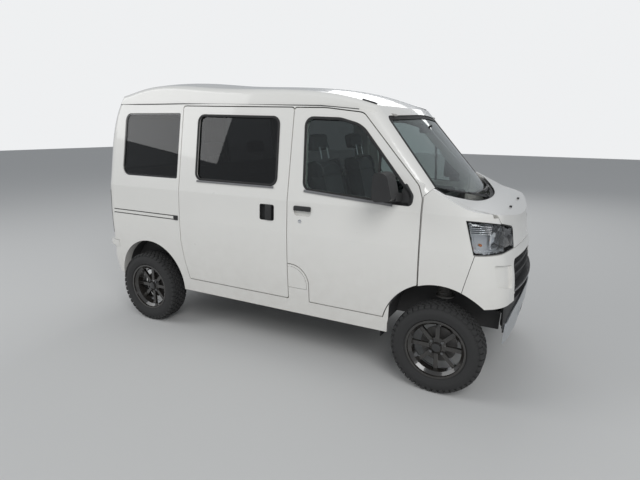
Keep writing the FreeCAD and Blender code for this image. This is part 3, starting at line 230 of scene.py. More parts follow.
BLACK_PLASTIC = Finish("black_grained_plastic", (0.018, 0.018, 0.019), (0.03, 0.03, 0.03), 0.55,
                       grain=Grain.PEBBLE, grain_size=0.0016, relief=0.3, patch_size=0.15)
GLOSS_BLACK = Finish("gloss_black_plastic", (0.008, 0.008, 0.009), (0.012, 0.012, 0.013), 0.12, coat=1.0)
RUBBER = Finish("seal_rubber", (0.012, 0.012, 0.012), (0.02, 0.02, 0.02), 0.62, grain=Grain.CAST,
                grain_size=0.003, relief=0.12)
CHASSIS = Finish("chassis_black_paint", (0.02, 0.02, 0.02), (0.06, 0.055, 0.05), 0.5, grain=Grain.CAST,
                 grain_size=0.006, relief=0.2, patch_size=0.1)
FLOOR_PAINT = Finish("floor_primer", (0.05, 0.05, 0.052), (0.08, 0.078, 0.075), 0.6, grain=Grain.CAST,
                     grain_size=0.01, relief=0.15, patch_size=0.15)
CAST_METAL = Finish("rough_cast_metal", (0.16, 0.155, 0.15), (0.24, 0.23, 0.22), 0.55, metallic=0.8,
                    grain=Grain.CAST, grain_size=0.004, relief=0.4, patch_size=0.06)
EXHAUST_STEEL = Finish("exhaust_steel", (0.3, 0.28, 0.25), (0.2, 0.15, 0.11), 0.4, metallic=1.0,
                       grain=Grain.CAST, grain_size=0.005, relief=0.15, patch_size=0.08)
GUARD_METAL = Finish("brushed_aluminium", (0.62, 0.64, 0.66), (0.52, 0.54, 0.56), 0.3, metallic=1.0,
                     grain=Grain.BRUSHED, grain_size=0.0015, relief=0.15, patch_size=0.05)
SEAT_CLOTH = Finish("seat_cloth", (0.055, 0.056, 0.062), (0.085, 0.086, 0.092), 0.9, sheen=0.4,
                    grain=Grain.WEAVE, grain_size=0.0022, relief=0.5, patch_size=0.05)
SEAT_SIDE = Finish("seat_side_cloth", (0.03, 0.03, 0.033), (0.045, 0.045, 0.05), 0.85, sheen=0.3,
                   grain=Grain.WEAVE, grain_size=0.0018, relief=0.4, patch_size=0.05)
DASH_PLASTIC = Finish("dash_grained_plastic", (0.06, 0.06, 0.063), (0.08, 0.08, 0.083), 0.6,
                      grain=Grain.PEBBLE, grain_size=0.0014, relief=0.3, patch_size=0.2)
RIM_PAINT = Finish("gloss_black_rim", (0.006, 0.006, 0.007), (0.012, 0.012, 0.012), 0.16, coat=1.0,
                   road_dust=0.1, grain=Grain.ORANGE_PEEL, grain_size=0.003, relief=0.03, patch_size=0.08)
NUT_STEEL = Finish("dark_nut_steel", (0.25, 0.25, 0.26), (0.18, 0.18, 0.18), 0.3, metallic=1.0,
                   patch_size=0.01)
TYRE_RUBBER = Finish("tyre_rubber", (0.022, 0.022, 0.022), (0.036, 0.035, 0.033), 0.8, grain=Grain.CAST,
                     grain_size=0.003, relief=0.25, patch_size=0.05, road_dust=0.16)
HEADLINER = Finish("headliner_felt", (0.36, 0.35, 0.33), (0.42, 0.41, 0.39), 0.95, sheen=0.3,
                   grain=Grain.CAST, grain_size=0.002, relief=0.3, patch_size=0.1)
DOOR_CARD = Finish("door_card_grained", (0.075, 0.075, 0.08), (0.10, 0.10, 0.105), 0.7, grain=Grain.PEBBLE,
                   grain_size=0.0018, relief=0.3, patch_size=0.2)
DIAL_FACE = Finish("dial_face", (0.01, 0.01, 0.012), (0.016, 0.016, 0.018), 0.1, coat=1.0, patch_size=0.02)
MIRROR_GLASS = Finish("mirror_silver", (0.85, 0.87, 0.88), (0.86, 0.88, 0.89), 0.02, metallic=1.0)
BELT_STRIP = Finish("belt_strip_grey", (0.17, 0.17, 0.175), (0.21, 0.21, 0.215), 0.35, grain=Grain.BRUSHED,
                    grain_size=0.002, relief=0.1, patch_size=0.05)
TAIL_LENS = Finish("red_clear_lens", (0.62, 0.02, 0.02), (0.66, 0.03, 0.03), 0.03, clear=0.85,
                   grain=Grain.PEBBLE, grain_size=0.008, relief=0.15)
CHROME = Finish("bright_trim", (0.75, 0.76, 0.78), (0.7, 0.71, 0.73), 0.12, metallic=1.0)

CAD_FINISH: dict[str, Finish] = {
    "body_white": BODY_PAINT, "clear_glass": CLEAR_GLASS, "dark_glass": DARK_GLASS, "lamp_clear": LAMP_GLASS,
    "lamp_red": LAMP_RED, "trim_black": BLACK_PLASTIC, "chassis_black": CHASSIS, "floor_paint": FLOOR_PAINT,
    "cast_metal": CAST_METAL, "exhaust_steel": EXHAUST_STEEL, "guard_metal": GUARD_METAL,
    "seat_cloth": SEAT_CLOTH, "dash_plastic": DASH_PLASTIC, "rim_black": RIM_PAINT,
    "tyre_rubber": TYRE_RUBBER,
}


@dataclass(frozen=True)
class VanSize:
    """Driving sizes of the body, as the parts were built to."""

    half_width: float = 0.7375
    front_axle_x: float = 1.2575
    rear_axle_x: float = -1.1925
    axle_height: float = 0.291
    wheel_y: float = 0.655
    tyre_radius: float = 0.291
    rim_radius: float = 0.192
    crease_height: float = 0.920
    belt_height: float = 1.140
    gutter_height: float = 1.788
    ride_height: float = 0.353
    tumblehome: float = 0.109
    belt_set_in: float = 0.008
    sill_set_in: float = 0.031
    glass_top_x: float = 0.885
    glass_top_height: float = 1.722
    glass_slope: float = 0.8941
    glass_bow: float = 2.128
    nose_bow: float = 2.470

    def half_width_at(self, height: float) -> float:
        """Half width of the body side at a height."""
        if height < self.crease_height:
            drop = (self.crease_height - height) / (self.crease_height - self.ride_height)
            return self.half_width - self.sill_set_in * drop**2
        if height < self.belt_height:
            climb, full = height - self.crease_height, self.belt_height - self.crease_height
            return self.half_width - self.belt_set_in * climb / full
        lean = (height - self.belt_height) / (self.gutter_height - self.belt_height)
        return self.half_width - self.belt_set_in - self.tumblehome * lean

    def screen_x(self, y: float, height: float) -> float:
        """Front surface of the windscreen at a place across and a height."""
        middle = self.glass_top_x + self.glass_slope * (self.glass_top_height - height)
        return middle - (self.glass_bow - math.sqrt(self.glass_bow**2 - y**2))


SIZE = VanSize()


def deselect() -> None:
    """Leave nothing selected, in object mode."""
    if bpy.context.object is not None and bpy.context.object.mode != "OBJECT":
        bpy.ops.object.mode_set(mode="OBJECT")
    bpy.ops.object.select_all(action="DESELECT")


def activate(obj: Piece) -> None:
    """Select one object alone and make it the active one."""
    deselect()
    obj.select_set(True)
    bpy.context.view_layer.objects.active = obj


@contextmanager
def editing(obj: Piece, kind: str = "VERT") -> Iterator[None]:
    """Edit mode with everything selected, and object mode again after it.

    Args:
        obj: Object to edit.
        kind: Whether vertices, edges or faces are selected meanwhile.
    """
    activate(obj)
    bpy.ops.object.mode_set(mode="EDIT")
    bpy.ops.mesh.select_mode(type=kind)
    bpy.ops.mesh.select_all(action="SELECT")
    yield
    bpy.ops.mesh.select_mode(type="VERT")
    bpy.ops.object.mode_set(mode="OBJECT")


def subdivided(obj: Piece, cuts: int) -> Piece:
    """Cut every edge of an object into equal lengths."""
    with editing(obj):
        bpy.ops.mesh.subdivide(number_cuts=cuts)
    return obj


def drop_faces(obj: Piece, unwanted: Callable[[bpy.types.MeshPolygon], bool], kind: str) -> Piece:
    """Delete the faces that a test picks.

    Args:
        obj: Object to thin out.
        unwanted: Test that is true for a face to delete.
        kind: What mesh.delete takes away with them.

    Returns:
        The same object.
    """
    activate(obj)
    bpy.ops.object.mode_set(mode="EDIT")
    bpy.ops.mesh.select_mode(type="FACE")
    bpy.ops.mesh.select_all(action="DESELECT")
    bpy.ops.object.mode_set(mode="OBJECT")
    for face in obj.data.polygons:
        face.select = unwanted(face)
    bpy.ops.object.mode_set(mode="EDIT")
    bpy.ops.mesh.delete(type=kind)
    bpy.ops.mesh.select_mode(type="VERT")
    bpy.ops.object.mode_set(mode="OBJECT")
    return obj


def settle(obj: Piece) -> Piece:
    """Move an object's place into its mesh."""
    activate(obj)
    bpy.ops.object.transform_apply(location=True, rotation=True, scale=True)
    return obj


def apply_modifiers(obj: Piece) -> Piece:
    """Apply every modifier of an object."""
    activate(obj)
    for modifier in list(obj.modifiers):
        bpy.ops.object.modifier_apply(modifier=modifier.name)
    return obj


def smoothed(obj: Piece, degrees: float = 40.0) -> Piece:
    """Smooth shading below an angle between faces."""
    activate(obj)
    bpy.ops.object.shade_smooth_by_angle(angle=math.radians(degrees))
    return obj


def walled(obj: Piece, thickness: float) -> Piece:
    """Give a surface a wall on its inner side."""
    obj.modifiers.new("wall", "SOLIDIFY").thickness = thickness
    return apply_modifiers(obj)


def bevelled(obj: Piece, width: float, segments: int = 2) -> Piece:
    """Round an object's sharp edges.

    Args:
        obj: Object to round.
        width: Width of the rounding, in metres.
        segments: Steps across each rounding.

    Returns:
        The same object.
    """
    modifier = obj.modifiers.new("round", "BEVEL")
    modifier.width = width
    modifier.segments = segments
    modifier.limit_method = "ANGLE"
    modifier.angle_limit = math.radians(35)
    return smoothed(apply_modifiers(obj))


def block(name: str, low: Sequence[float], high: Sequence[float], rounding: float = 0.0) -> Piece:
    """Block between two corners with rounded edges.

    Args:
        name: Object name.
        low: Lowest corner.
        high: Highest corner.
        rounding: Width of the edge rounding.

    Returns:
        The new object.
    """
    deselect()
    centre = [(a + b) / 2 for a, b in zip(low, high)]
    bpy.ops.mesh.primitive_cube_add(size=1.0, location=centre, scale=[b - a for a, b in zip(low, high)])
    obj = bpy.context.object
    obj.name = name
    settle(obj)
    return bevelled(obj, rounding) if rounding > 0 else obj


def disc(name: str, centre: Sequence[float], axis: Sequence[float], radius: float, depth: float,
         sides: int = 32, rounding: float = 0.0) -> Piece:
    """Round plug along an axis.

    Args:
        name: Object name.
        centre: Middle of the plug.
        axis: Direction of its axis.
        radius: Its radius.
        depth: Its length along the axis.
        sides: Number of sides.
        rounding: Width of the edge rounding.

    Returns:
        The new object.
    """
    deselect()
    turn = Vector(axis).to_track_quat("Z", "Y").to_euler()
    bpy.ops.mesh.primitive_cylinder_add(vertices=sides, radius=radius, depth=depth, location=centre,
                                        rotation=turn)
    obj = bpy.context.object
    obj.name = name
    settle(obj)
    return bevelled(obj, rounding) if rounding > 0 else smoothed(obj)


def outline(name: str, corners: Sequence[Corner], steps: int = 5) -> Piece:
    """Flat face in the XZ plane with each corner rounded by its own radius.

    Args:
        name: Object name.
        corners: Corners as x, z and radius.
        steps: Steps in each round corner.

    Returns:
        The new object, one face at y 0.
    """
    deselect()
    bpy.ops.mesh.primitive_circle_add(vertices=len(corners), fill_type="NGON")
    obj = bpy.context.object
    obj.name = name
    for vertex, (x, z, _) in zip(obj.data.vertices, corners):
        vertex.co = (x, 0.0, z)
    for i, (x, z, radius) in enumerate(corners):
        if radius <= 0:
            continue
        here = Vector((x, z))
        back = (Vector(corners[i - 1][:2]) - here).normalized()
        forth = (Vector(corners[(i + 1) % len(corners)][:2]) - here).normalized()
        reach = radius / math.tan(back.angle(forth) / 2)
        bpy.ops.object.mode_set(mode="EDIT")
        bpy.ops.mesh.select_mode(type="VERT")
        bpy.ops.mesh.select_all(action="DESELECT")
        bpy.ops.object.mode_set(mode="OBJECT")
        nearest = min(obj.data.vertices, key=lambda v: (v.co - Vector((x, 0.0, z))).length)
        nearest.select = True
        bpy.ops.object.mode_set(mode="EDIT")
        bpy.ops.mesh.bevel(offset=reach, segments=steps, affect="VERTICES", profile=0.5)
        bpy.ops.object.mode_set(mode="OBJECT")
    return obj


def bent(obj: Piece, place: Callable[[Vector], Vector]) -> Piece:
    """Move every vertex of an object by a rule of place.

    Args:
        obj: Object to bend.
        place: Rule that maps a point to its new point.

    Returns:
        The same object.
    """
    for vertex in obj.data.vertices:
        vertex.co = place(vertex.co.copy())
    obj.data.update()
    return obj


def onto_side(obj: Piece, side: int, lift: float) -> Piece:
    """Lay a flat piece on the body side.

    Args:
        obj: Piece in the XZ plane, whose thickness is along Y.
        side: 1 for the left side, -1 for the right.
        lift: Distance of its y 0 plane outside the body surface.

    Returns:
        The same object.
    """
    def place(p: Vector) -> Vector:
        return Vector((p.x, side * (SIZE.half_width_at(p.z) + lift + p.y), p.z))

    return recalculate(bent(obj, place))


def recalculate(obj: Piece, merge: float = 0.00001) -> Piece:
    """Merge doubles and turn every face outwards.

    Args:
        obj: Object to mend.
        merge: Distance below which vertices join.

    Returns:
        The same object.
    """
    with editing(obj):
        bpy.ops.mesh.remove_doubles(threshold=merge)
        bpy.ops.mesh.normals_make_consistent(inside=False)
    return obj


def joined(name: str, pieces: Sequence[Piece]) -> Piece:
    """One object from several.

    Args:
        name: Name of the whole.
        pieces: Objects to join.

    Returns:
        The joined object.
    """
    deselect()
    for piece in pieces:
        piece.select_set(True)
    bpy.context.view_layer.objects.active = pieces[0]
    if len(pieces) > 1:
        bpy.ops.object.join()
    whole = bpy.context.object
    whole.name = name
    return whole


MIRROR_Y = Matrix.Scale(-1, 4, (0.0, 1.0, 0.0))


def sided(obj: Piece, side: int) -> Piece:
    """The piece itself for the left side, or its mirror image for the right."""
    if side < 0:
        obj.data.transform(MIRROR_Y)
        obj.data.flip_normals()
    return obj


def copied(obj: Piece, name: str, place: Matrix) -> Piece:
    """Copy of a piece with its own mesh, moved by a matrix.

    Args:
        obj: Piece to copy.
        name: Name of the copy.
        place: Matrix applied to the copy's mesh.

    Returns:
        The copy.
    """
    twin = obj.copy()
    twin.data = obj.data.copy()
    twin.name = name
    bpy.context.scene.collection.objects.link(twin)
    twin.data.transform(place)
    if place.determinant() < 0:
        twin.data.flip_normals()
    return twin


def dressed(obj: Piece, finish: Finish, body: str) -> Piece:
    """Give a finished piece its finish and let it move with a body.

    Args:
        obj: Finished piece.
        finish: Its finish.
        body: Name of the body that carries it.

    Returns:
        The same object.
    """
    obj.data.materials.clear()
    obj.data.materials.append(finish.material())
    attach(obj, body)
    LOG.info("%s on %s", obj.name, body)
    return obj


@dataclass
class Wheels:
    """Tyres with their tread, wheel nuts, caps and valves."""

    width: float = 0.165
    pitches: int = 44
    groove: float = 0.009
    seat_gap: float = 0.0006
    stud_circle: float = 0.05
    rim_inside: float = -0.0725
    nut_face: float = 0.084
    cap_face: float = 0.106
    corners: tuple[tuple[str, int], ...] = (("front", 1), ("front", -1), ("rear", 1), ("rear", -1))

    def build(self) -> None:
        """Build every wheel's pieces and put them on their bodies."""
        tyre = self._carcass()
        tread = self._tread()
        whole = joined("tyre", [tyre, tread])
        for end, side in self.corners:
            side_name = "left" if side > 0 else "right"
            body = f"wheel_{end}_{side_name}"
            x = SIZE.front_axle_x if end == "front" else SIZE.rear_axle_x
            place = Matrix.Translation((x, side * SIZE.wheel_y, SIZE.axle_height))
            if side < 0:
                place = place @ Matrix.Rotation(math.pi, 4, "Z")
            dressed_tyre = copied(whole, f"tread_tyre_{end}_{side_name}", place)
            dressed(dressed_tyre, TYRE_RUBBER, body)
            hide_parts(f"tyre_{end}_{side_name}")
            parts = ((self._nuts(), NUT_STEEL), (self._cap(), GLOSS_BLACK), (self._valve(), RUBBER))
            for piece, finish in parts:
                moved = copied(piece, f"{piece.name}_{end}_{side_name}", place)
                dressed(moved, finish, body)
                bpy.data.objects.remove(piece)
        bpy.data.objects.remove(whole)

    def _carcass(self) -> Piece:
        """Tyre body below the tread blocks, centred on the origin about Y."""
        half, top = self.width / 2, SIZE.tyre_radius - self.groove
        bead = SIZE.rim_radius + self.seat_gap
        wall: list[Corner] = [
            (half - 0.022, top, 0.008), (half - 0.006, top - 0.014, 0.015),
            (half + 0.004, bead + 0.045, 0.03), (half - 0.003, bead + 0.008, 0.006),
            (half - 0.016, bead, 0.004)]
        section = [(-y, z, radius) for y, z, radius in reversed(wall)] + wall
        obj = outline("tyre_section", section, 3)
        bent(obj, lambda p: Vector((0.0, p.x, p.z)))
        with editing(obj):
            bpy.ops.mesh.spin(steps=96, angle=math.tau, center=(0, 0, 0), axis=(0, 1, 0))
            bpy.ops.mesh.select_all(action="SELECT")
            bpy.ops.mesh.remove_doubles(threshold=0.0002)
            bpy.ops.mesh.delete_loose()
        recalculate(drop_faces(obj, lambda face: len(face.vertices) > 4, "ONLY_FACE"))
        return smoothed(obj, 35)

    def _tread(self) -> Piece:
        """Ring of tread blocks: one pitch, turned round the axle."""
        low, top = SIZE.tyre_radius - self.groove - 0.002, SIZE.tyre_radius
        step = math.tau / self.pitches
        long = SIZE.tyre_radius * step
        rows = ((-0.066, 0.026, 0.0, 0.74, 0.0), (-0.036, 0.022, 0.5, 0.62, 0.5),
                (-0.011, 0.017, 0.0, 0.66, -0.45), (0.012, 0.017, 0.5, 0.66, 0.45),
                (0.037, 0.022, 0.0, 0.62, -0.5), (0.067, 0.026, 0.5, 0.74, 0.0))
        blocks = []
        for y, wide, shift, fill, skew in rows:
            along, across = long * fill / 2, wide / 2
            lug = block("lug", (-along, y - across, low), (along, y + across, top), 0.0012)
            bent(lug, lambda p: Vector((p.x + (p.y - y) * skew, p.y, p.z)))
            shoulder = abs(y) > 0.05
            if shoulder:
                bent(lug, lambda p: Vector((p.x, p.y, p.z - (0.010 if abs(p.y) > abs(y) + 0.004 else 0.0))))
            lug.data.transform(Matrix.Rotation(step * shift, 4, "Y"))
            blocks.append(lug)
        for side in (-1, 1):
            bar = block("side_bar", (-long * 0.24, side * 0.0745 - 0.004, low - 0.022),
                        (long * 0.24, side * 0.0745 + 0.004, top - 0.012), 0.001)
            bar.data.transform(Matrix.Rotation(step * (0.5 if side > 0 else 0.0), 4, "Y"))
            blocks.append(bar)
        pitch = joined("tread", blocks)
        with editing(pitch):
            bpy.ops.mesh.spin(steps=self.pitches - 1, dupli=True, angle=math.tau - step,
                              center=(0, 0, 0), axis=(0, 1, 0))
        return pitch

    def _nuts(self) -> Piece:
        """Four wheel nuts on the stud circle, on the wheel's outer side."""
        pieces = []
        for i in range(4):
            angle = math.radians(90 * i + 45)
            x, z = math.sin(angle) * self.stud_circle, math.cos(angle) * self.stud_circle
            y = self.rim_inside + self.nut_face
            pieces.append(disc("nut", (x, y + 0.008, z), (0, 1, 0), 0.0095, 0.02, 6, 0.0012))
        return joined("wheel_nuts", pieces)

    def _cap(self) -> Piece:
        """Bare centre cap."""
        return disc("hub_cap", (0, self.rim_inside + self.cap_face, 0), (0, 1, 0), 0.028, 0.008, 40, 0.003)

    def _valve(self) -> Piece:
        """Tyre valve in the outer well of the rim."""
        return disc("valve", (0.0, 0.055, 0.155), (0, 0.9, -0.45), 0.004, 0.034, 12, 0.001)


def dress_nodes(frame: dict) -> None:
    """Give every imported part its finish.
    """
    slots = {part["node"]: part["material_slot"] for part in frame["record"]["subparts"]}
    for node, obj in frame["nodes"].items():
        obj.data.materials.clear()
        obj.data.materials.append(CAD_FINISH[slots[node]].material())
        LOG.info("%s dressed", node)


def skin_point(node: Piece, start: Sequence[float], way: Sequence[float]) -> Vector | None:
    """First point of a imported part's surface along a line.

    Args:
        node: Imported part.
        start: Where the line starts.
        way: Its direction.

    Returns:
        The point, or None where the line misses.
    """
    back = node.matrix_world.inverted()
    hit, point, _, _ = node.ray_cast(back @ Vector(start), (back.to_3x3() @ Vector(way)).normalized())
    return node.matrix_world @ point if hit else None


def thicken(depth: float) -> None:
    """Extrude the selected faces along Y, in edit mode."""
    bpy.ops.mesh.extrude_region_move(TRANSFORM_OT_translate={"value": (0.0, depth, 0.0)})
    bpy.ops.mesh.select_all(action="SELECT")
    bpy.ops.mesh.normals_make_consistent(inside=False)


def plate(name: str, corners: Sequence[Corner], depth: float) -> Piece:
    """Flat plate with an outline in the XZ plane.

    Args:
        name: Object name.
        corners: Corners as x, z and radius.
        depth: Thickness along Y.

    Returns:
        The new object, with its faces at y 0 and the depth.
    """
    obj = outline(name, corners)
    with editing(obj):
        thicken(depth)
    return obj


def widened(obj: Piece, reach: float) -> None:
    """Move the rim of a flat face outwards in its XZ plane.

    Args:
        obj: Object with one flat face.
        reach: Distance between the old and the new rim.
    """
    ring = list(obj.data.polygons[0].vertices)
    spots = [obj.data.vertices[i].co.copy() for i in ring]
    facing = 1.0 if obj.data.polygons[0].normal.y > 0 else -1.0
    for i, index in enumerate(ring):
        back = (spots[i] - spots[i - 1]).normalized()
        forth = (spots[(i + 1) % len(spots)] - spots[i]).normalized()
        side = Vector((-back.z, 0.0, back.x)) * facing
        away = (side + Vector((-forth.z, 0.0, forth.x)) * facing).normalized()
        obj.data.vertices[index].co = spots[i] + away * (reach / max(away.dot(side), 0.4))


def band(name: str, corners: Sequence[Corner], inner: float, outer: float, depth: float,
         cuts: int = 0) -> Piece:
    """Frame that runs along both sides of an outline in the XZ plane.

    Args:
        name: Object name.
        corners: Corners as x, z and radius.
        inner: Reach inside the outline.
        outer: Reach outside the outline.
        depth: Thickness along Y.
        cuts: Cuts across each edge, for a frame that is bent later.

    Returns:
        The new object.
    """
    obj = outline(name, corners)
    widened(obj, outer)
    with editing(obj, "FACE"):
        bpy.ops.mesh.inset(thickness=inner + outer, use_even_offset=True)
        bpy.ops.mesh.delete(type="FACE")
        bpy.ops.mesh.select_all(action="SELECT")
        if cuts:
            bpy.ops.mesh.subdivide(number_cuts=cuts)
        thicken(depth)
    return obj


def bent_piece(obj: Piece, place: Callable[[Vector], Vector], name: str = "") -> Piece:
    """Bend an object, mend its faces and name it.

    Args:
        obj: Object to bend.
        place: Rule that maps a point to its new point.
        name: New name, or nothing to keep the old one.

    Returns:
        The same object.
    """
    recalculate(bent(obj, place))
    obj.name = name or obj.name
    return obj


def side_pair(name: str, make: Callable[[], Piece], lift: float, finish: Finish,
              bodies: tuple[str, str] = ("root", "root"), rounding: float = 0.0) -> None:
    """Put a side piece on both sides of the van.

    Args:
        name: Name without its side.
        make: Maker of the flat piece in the XZ plane.
        lift: Distance of its y 0 plane outside the body side.
        finish: Finish of the piece.
        bodies: Bodies that carry the left and the right piece.
        rounding: Width of its edge rounding.
    """
    for side, side_name, body in ((1, "left", bodies[0]), (-1, "right", bodies[1])):
        piece = onto_side(make(), side, lift)
        if rounding > 0:
            bevelled(piece, rounding)
        piece.name = f"{name}_{side_name}"
        dressed(piece, finish, body)


def side_plates(name: str, corners: Sequence[Corner], depth: float, lift: float, finish: Finish,
                bodies: tuple[str, str] = ("root", "root"), rounding: float = 0.0) -> None:
    """Put a flat plate on both sides of the van, as side_pair does.

    Args:
        name: Name without its side.
        corners: Corners as x, z and radius.
        depth: Thickness of the plate.
        lift: Distance of its inner face outside the body side.
        finish: Finish of the plate.
        bodies: Bodies that carry the left and the right plate.
        rounding: Width of its edge rounding.
    """
    side_pair(name, lambda: plate(name, corners, depth), lift, finish, bodies, rounding)


FRONT_DOORS = ("front_door_left", "front_door_right")


@dataclass
class SideTrim:
    """Seals, belt strips, rails, gutters, handles and fuel lid surround of the body sides."""

    seal_depth: float = 0.005
    slide_window: tuple[Corner, ...] = (
        (-0.628, 1.704, 0.048), (0.076, 1.690, 0.048), (0.092, 1.238, 0.048), (-0.622, 1.242, 0.048))
    quarter_window: tuple[Corner, ...] = (
        (-1.412, 1.724, 0.06), (-0.815, 1.724, 0.014), (-0.815, 1.230, 0.014), (-1.418, 1.230, 0.075))
    front_window: tuple[Corner, ...] = (
        (0.292, 1.688, 0.048), (0.540, 1.680, 0.14), (0.690, 1.640, 0.16), (1.042, 1.245, 0.06),
        (1.050, 1.190, 0.02), (0.940, 1.188, 0.06), (0.318, 1.230, 0.048))
    fuel_lid: tuple[Corner, ...] = (
        (0.1888, 0.5268, 0.004), (0.1888, 0.6792, 0.010), (0.3352, 0.6792, 0.1245), (0.3352, 0.5268, 0.004))

    def build(self) -> None:
        """Build every piece of both sides."""
        self._seals()
        self._strips()
        self._door_handles()
        self._slide_handles()
        self._rails()
        self._lid_filler()

    def _seals(self) -> None:
        """Rubber round each side window."""
        side_pair("slide_window_seal", lambda: band("seal", self.slide_window, 0.006, 0.011, self.seal_depth),
                  -0.001, RUBBER, rounding=0.0015)
        side_pair("quarter_window_edge", lambda: band("seal", self.quarter_window, 0.012, 0.0, 0.004),
                  -0.011, GLOSS_BLACK)
        side_pair("front_window_seal", lambda: band("seal", self.front_window, 0.006, 0.012, self.seal_depth),
                  -0.001, RUBBER, FRONT_DOORS, rounding=0.0015)
        sail = ((0.946, 1.176, 0.0), (1.062, 1.172, 0.03), (1.068, 1.238, 0.035), (1.012, 1.318, 0.012),
                (0.985, 1.235, 0.06))
        side_plates("mirror_sail", sail, 0.012, -0.008, BLACK_PLASTIC, FRONT_DOORS, 0.003)
        divider = ((0.826, 1.19, 0.0), (0.842, 1.19, 0.0), (0.838, 1.50, 0.0), (0.822, 1.50, 0.0))
        side_plates("window_channel", divider, 0.006, -0.012, RUBBER, FRONT_DOORS)

    def _strips(self) -> None:
        """Grey belt strips below the windows and the dark gutter lines above the doors."""
        slide = ((-0.612, 1.219, 0.002), (0.076, 1.216, 0.002), (0.076, 1.229, 0.002), (-0.612, 1.232, 0.002))
        side_plates("slide_belt_strip", slide, 0.007, 0.001, BELT_STRIP, rounding=0.0015)
        front = ((0.318, 1.208, 0.002), (0.940, 1.164, 0.002), (0.940, 1.180, 0.002), (0.318, 1.224, 0.002))
        side_plates("front_belt_strip", front, 0.007, 0.001, BELT_STRIP, FRONT_DOORS, 0.0015)
        gutter = ((-1.478, 1.7905, 0.0), (-0.80, 1.790, 0.0), (0.177, 1.7690, 0.0), (0.388, 1.7645, 0.0),
                  (0.660, 1.7400, 0.0), (0.660, 1.7455, 0.0), (0.388, 1.7700, 0.0), (0.177, 1.7745, 0.0),
                  (-0.80, 1.7955, 0.0), (-1.478, 1.7960, 0.0))
        side_plates("gutter_line", gutter, 0.004, -0.005, RUBBER)

    def _door_handles(self) -> None:
        """Pull handle and lock of each front door."""
        pull = ((0.247, 1.080, 0.004), (0.378, 1.080, 0.004), (0.380, 1.113, 0.01), (0.247, 1.113, 0.01))
        side_plates("door_pull", pull, 0.012, -0.002, BLACK_PLASTIC, FRONT_DOORS, 0.004)
        for side, name in SIDES:
            y = side * SIZE.half_width_at(1.009)
            ring = disc("lock_ring", (0.295, y, 1.009), (0, side, 0), 0.013, 0.006, 32, 0.001)
            slot = block("lock_slot", (0.2935, y - 0.0042, 1.003), (0.2965, y + 0.0042, 1.015))
            dressed(joined(f"door_lock_{name}", [ring, slot]), CHROME, f"front_door_{name}")

    def _slide_handles(self) -> None:
        """Dark cup with an upright grip on each sliding door."""
        cup = ((-0.032, 0.992, 0.013), (0.086, 0.992, 0.013), (0.086, 1.102, 0.013), (-0.032, 1.102, 0.013))
        side_plates("slide_cup_floor", cup, 0.002, -0.0235, BLACK_PLASTIC)
        side_pair("slide_cup_wall", lambda: band("wall", cup, 0.003, 0.0, 0.025), -0.0235, BLACK_PLASTIC)
        grip = ((0.016, 0.992, 0.012), (0.068, 0.992, 0.012), (0.068, 1.102, 0.012), (0.016, 1.102, 0.012))
        side_plates("slide_grip", grip, 0.013, -0.004, BLACK_PLASTIC, rounding=0.005)

    def _rails(self) -> None:
        """Slide rail covers along the rear quarters, with a dark end stop."""
        for level, low in (("upper", 0.937), ("lower", 0.908)):
            top = low + 0.006
            rail = ((-1.528, low, 0.0), (-0.812, low, 0.0), (-0.812, top, 0.0), (-1.528, top, 0.0))
            side_plates(f"slide_rail_{level}", rail, 0.003, -0.008, RUBBER)
        stop = ((-0.850, 0.907, 0.004), (-0.806, 0.907, 0.004), (-0.806, 0.944, 0.004),
                (-0.850, 0.944, 0.004))
        side_plates("slide_rail_stop", stop, 0.006, -0.001, BLACK_PLASTIC, rounding=0.002)

    def _lid_filler(self) -> None:
        """Painted strip in the gap along two edges of the fuel lid, and the cap behind it."""
        strip = band("lid_filler", self.fuel_lid, 0.0, 0.0026, 0.006)
        for place, normal in (((0.192, 0, 0), (1, 0, 0)), ((0, 0, 0.530), (0, 0, 1))):
            with editing(strip):
                bpy.ops.mesh.bisect(plane_co=place, plane_no=normal, clear_inner=True, use_fill=True)
        dressed(onto_side(strip, -1, -0.0064), BODY_PAINT, "root")
        pocket = block("fuel_pocket", (0.1925, -0.666, 0.5305), (0.3315, -0.660, 0.6755), 0.002)
        dressed(pocket, BODY_PAINT, "root")
        cap = disc("cap", (0.262, -0.678, 0.603), (0, -1, 0), 0.033, 0.026, 40, 0.004)
        grip = block("grip", (0.234, -0.699, 0.5975), (0.290, -0.688, 0.6085), 0.003)
        dressed(joined("fuel_cap", [cap, grip]), BLACK_PLASTIC, "root")


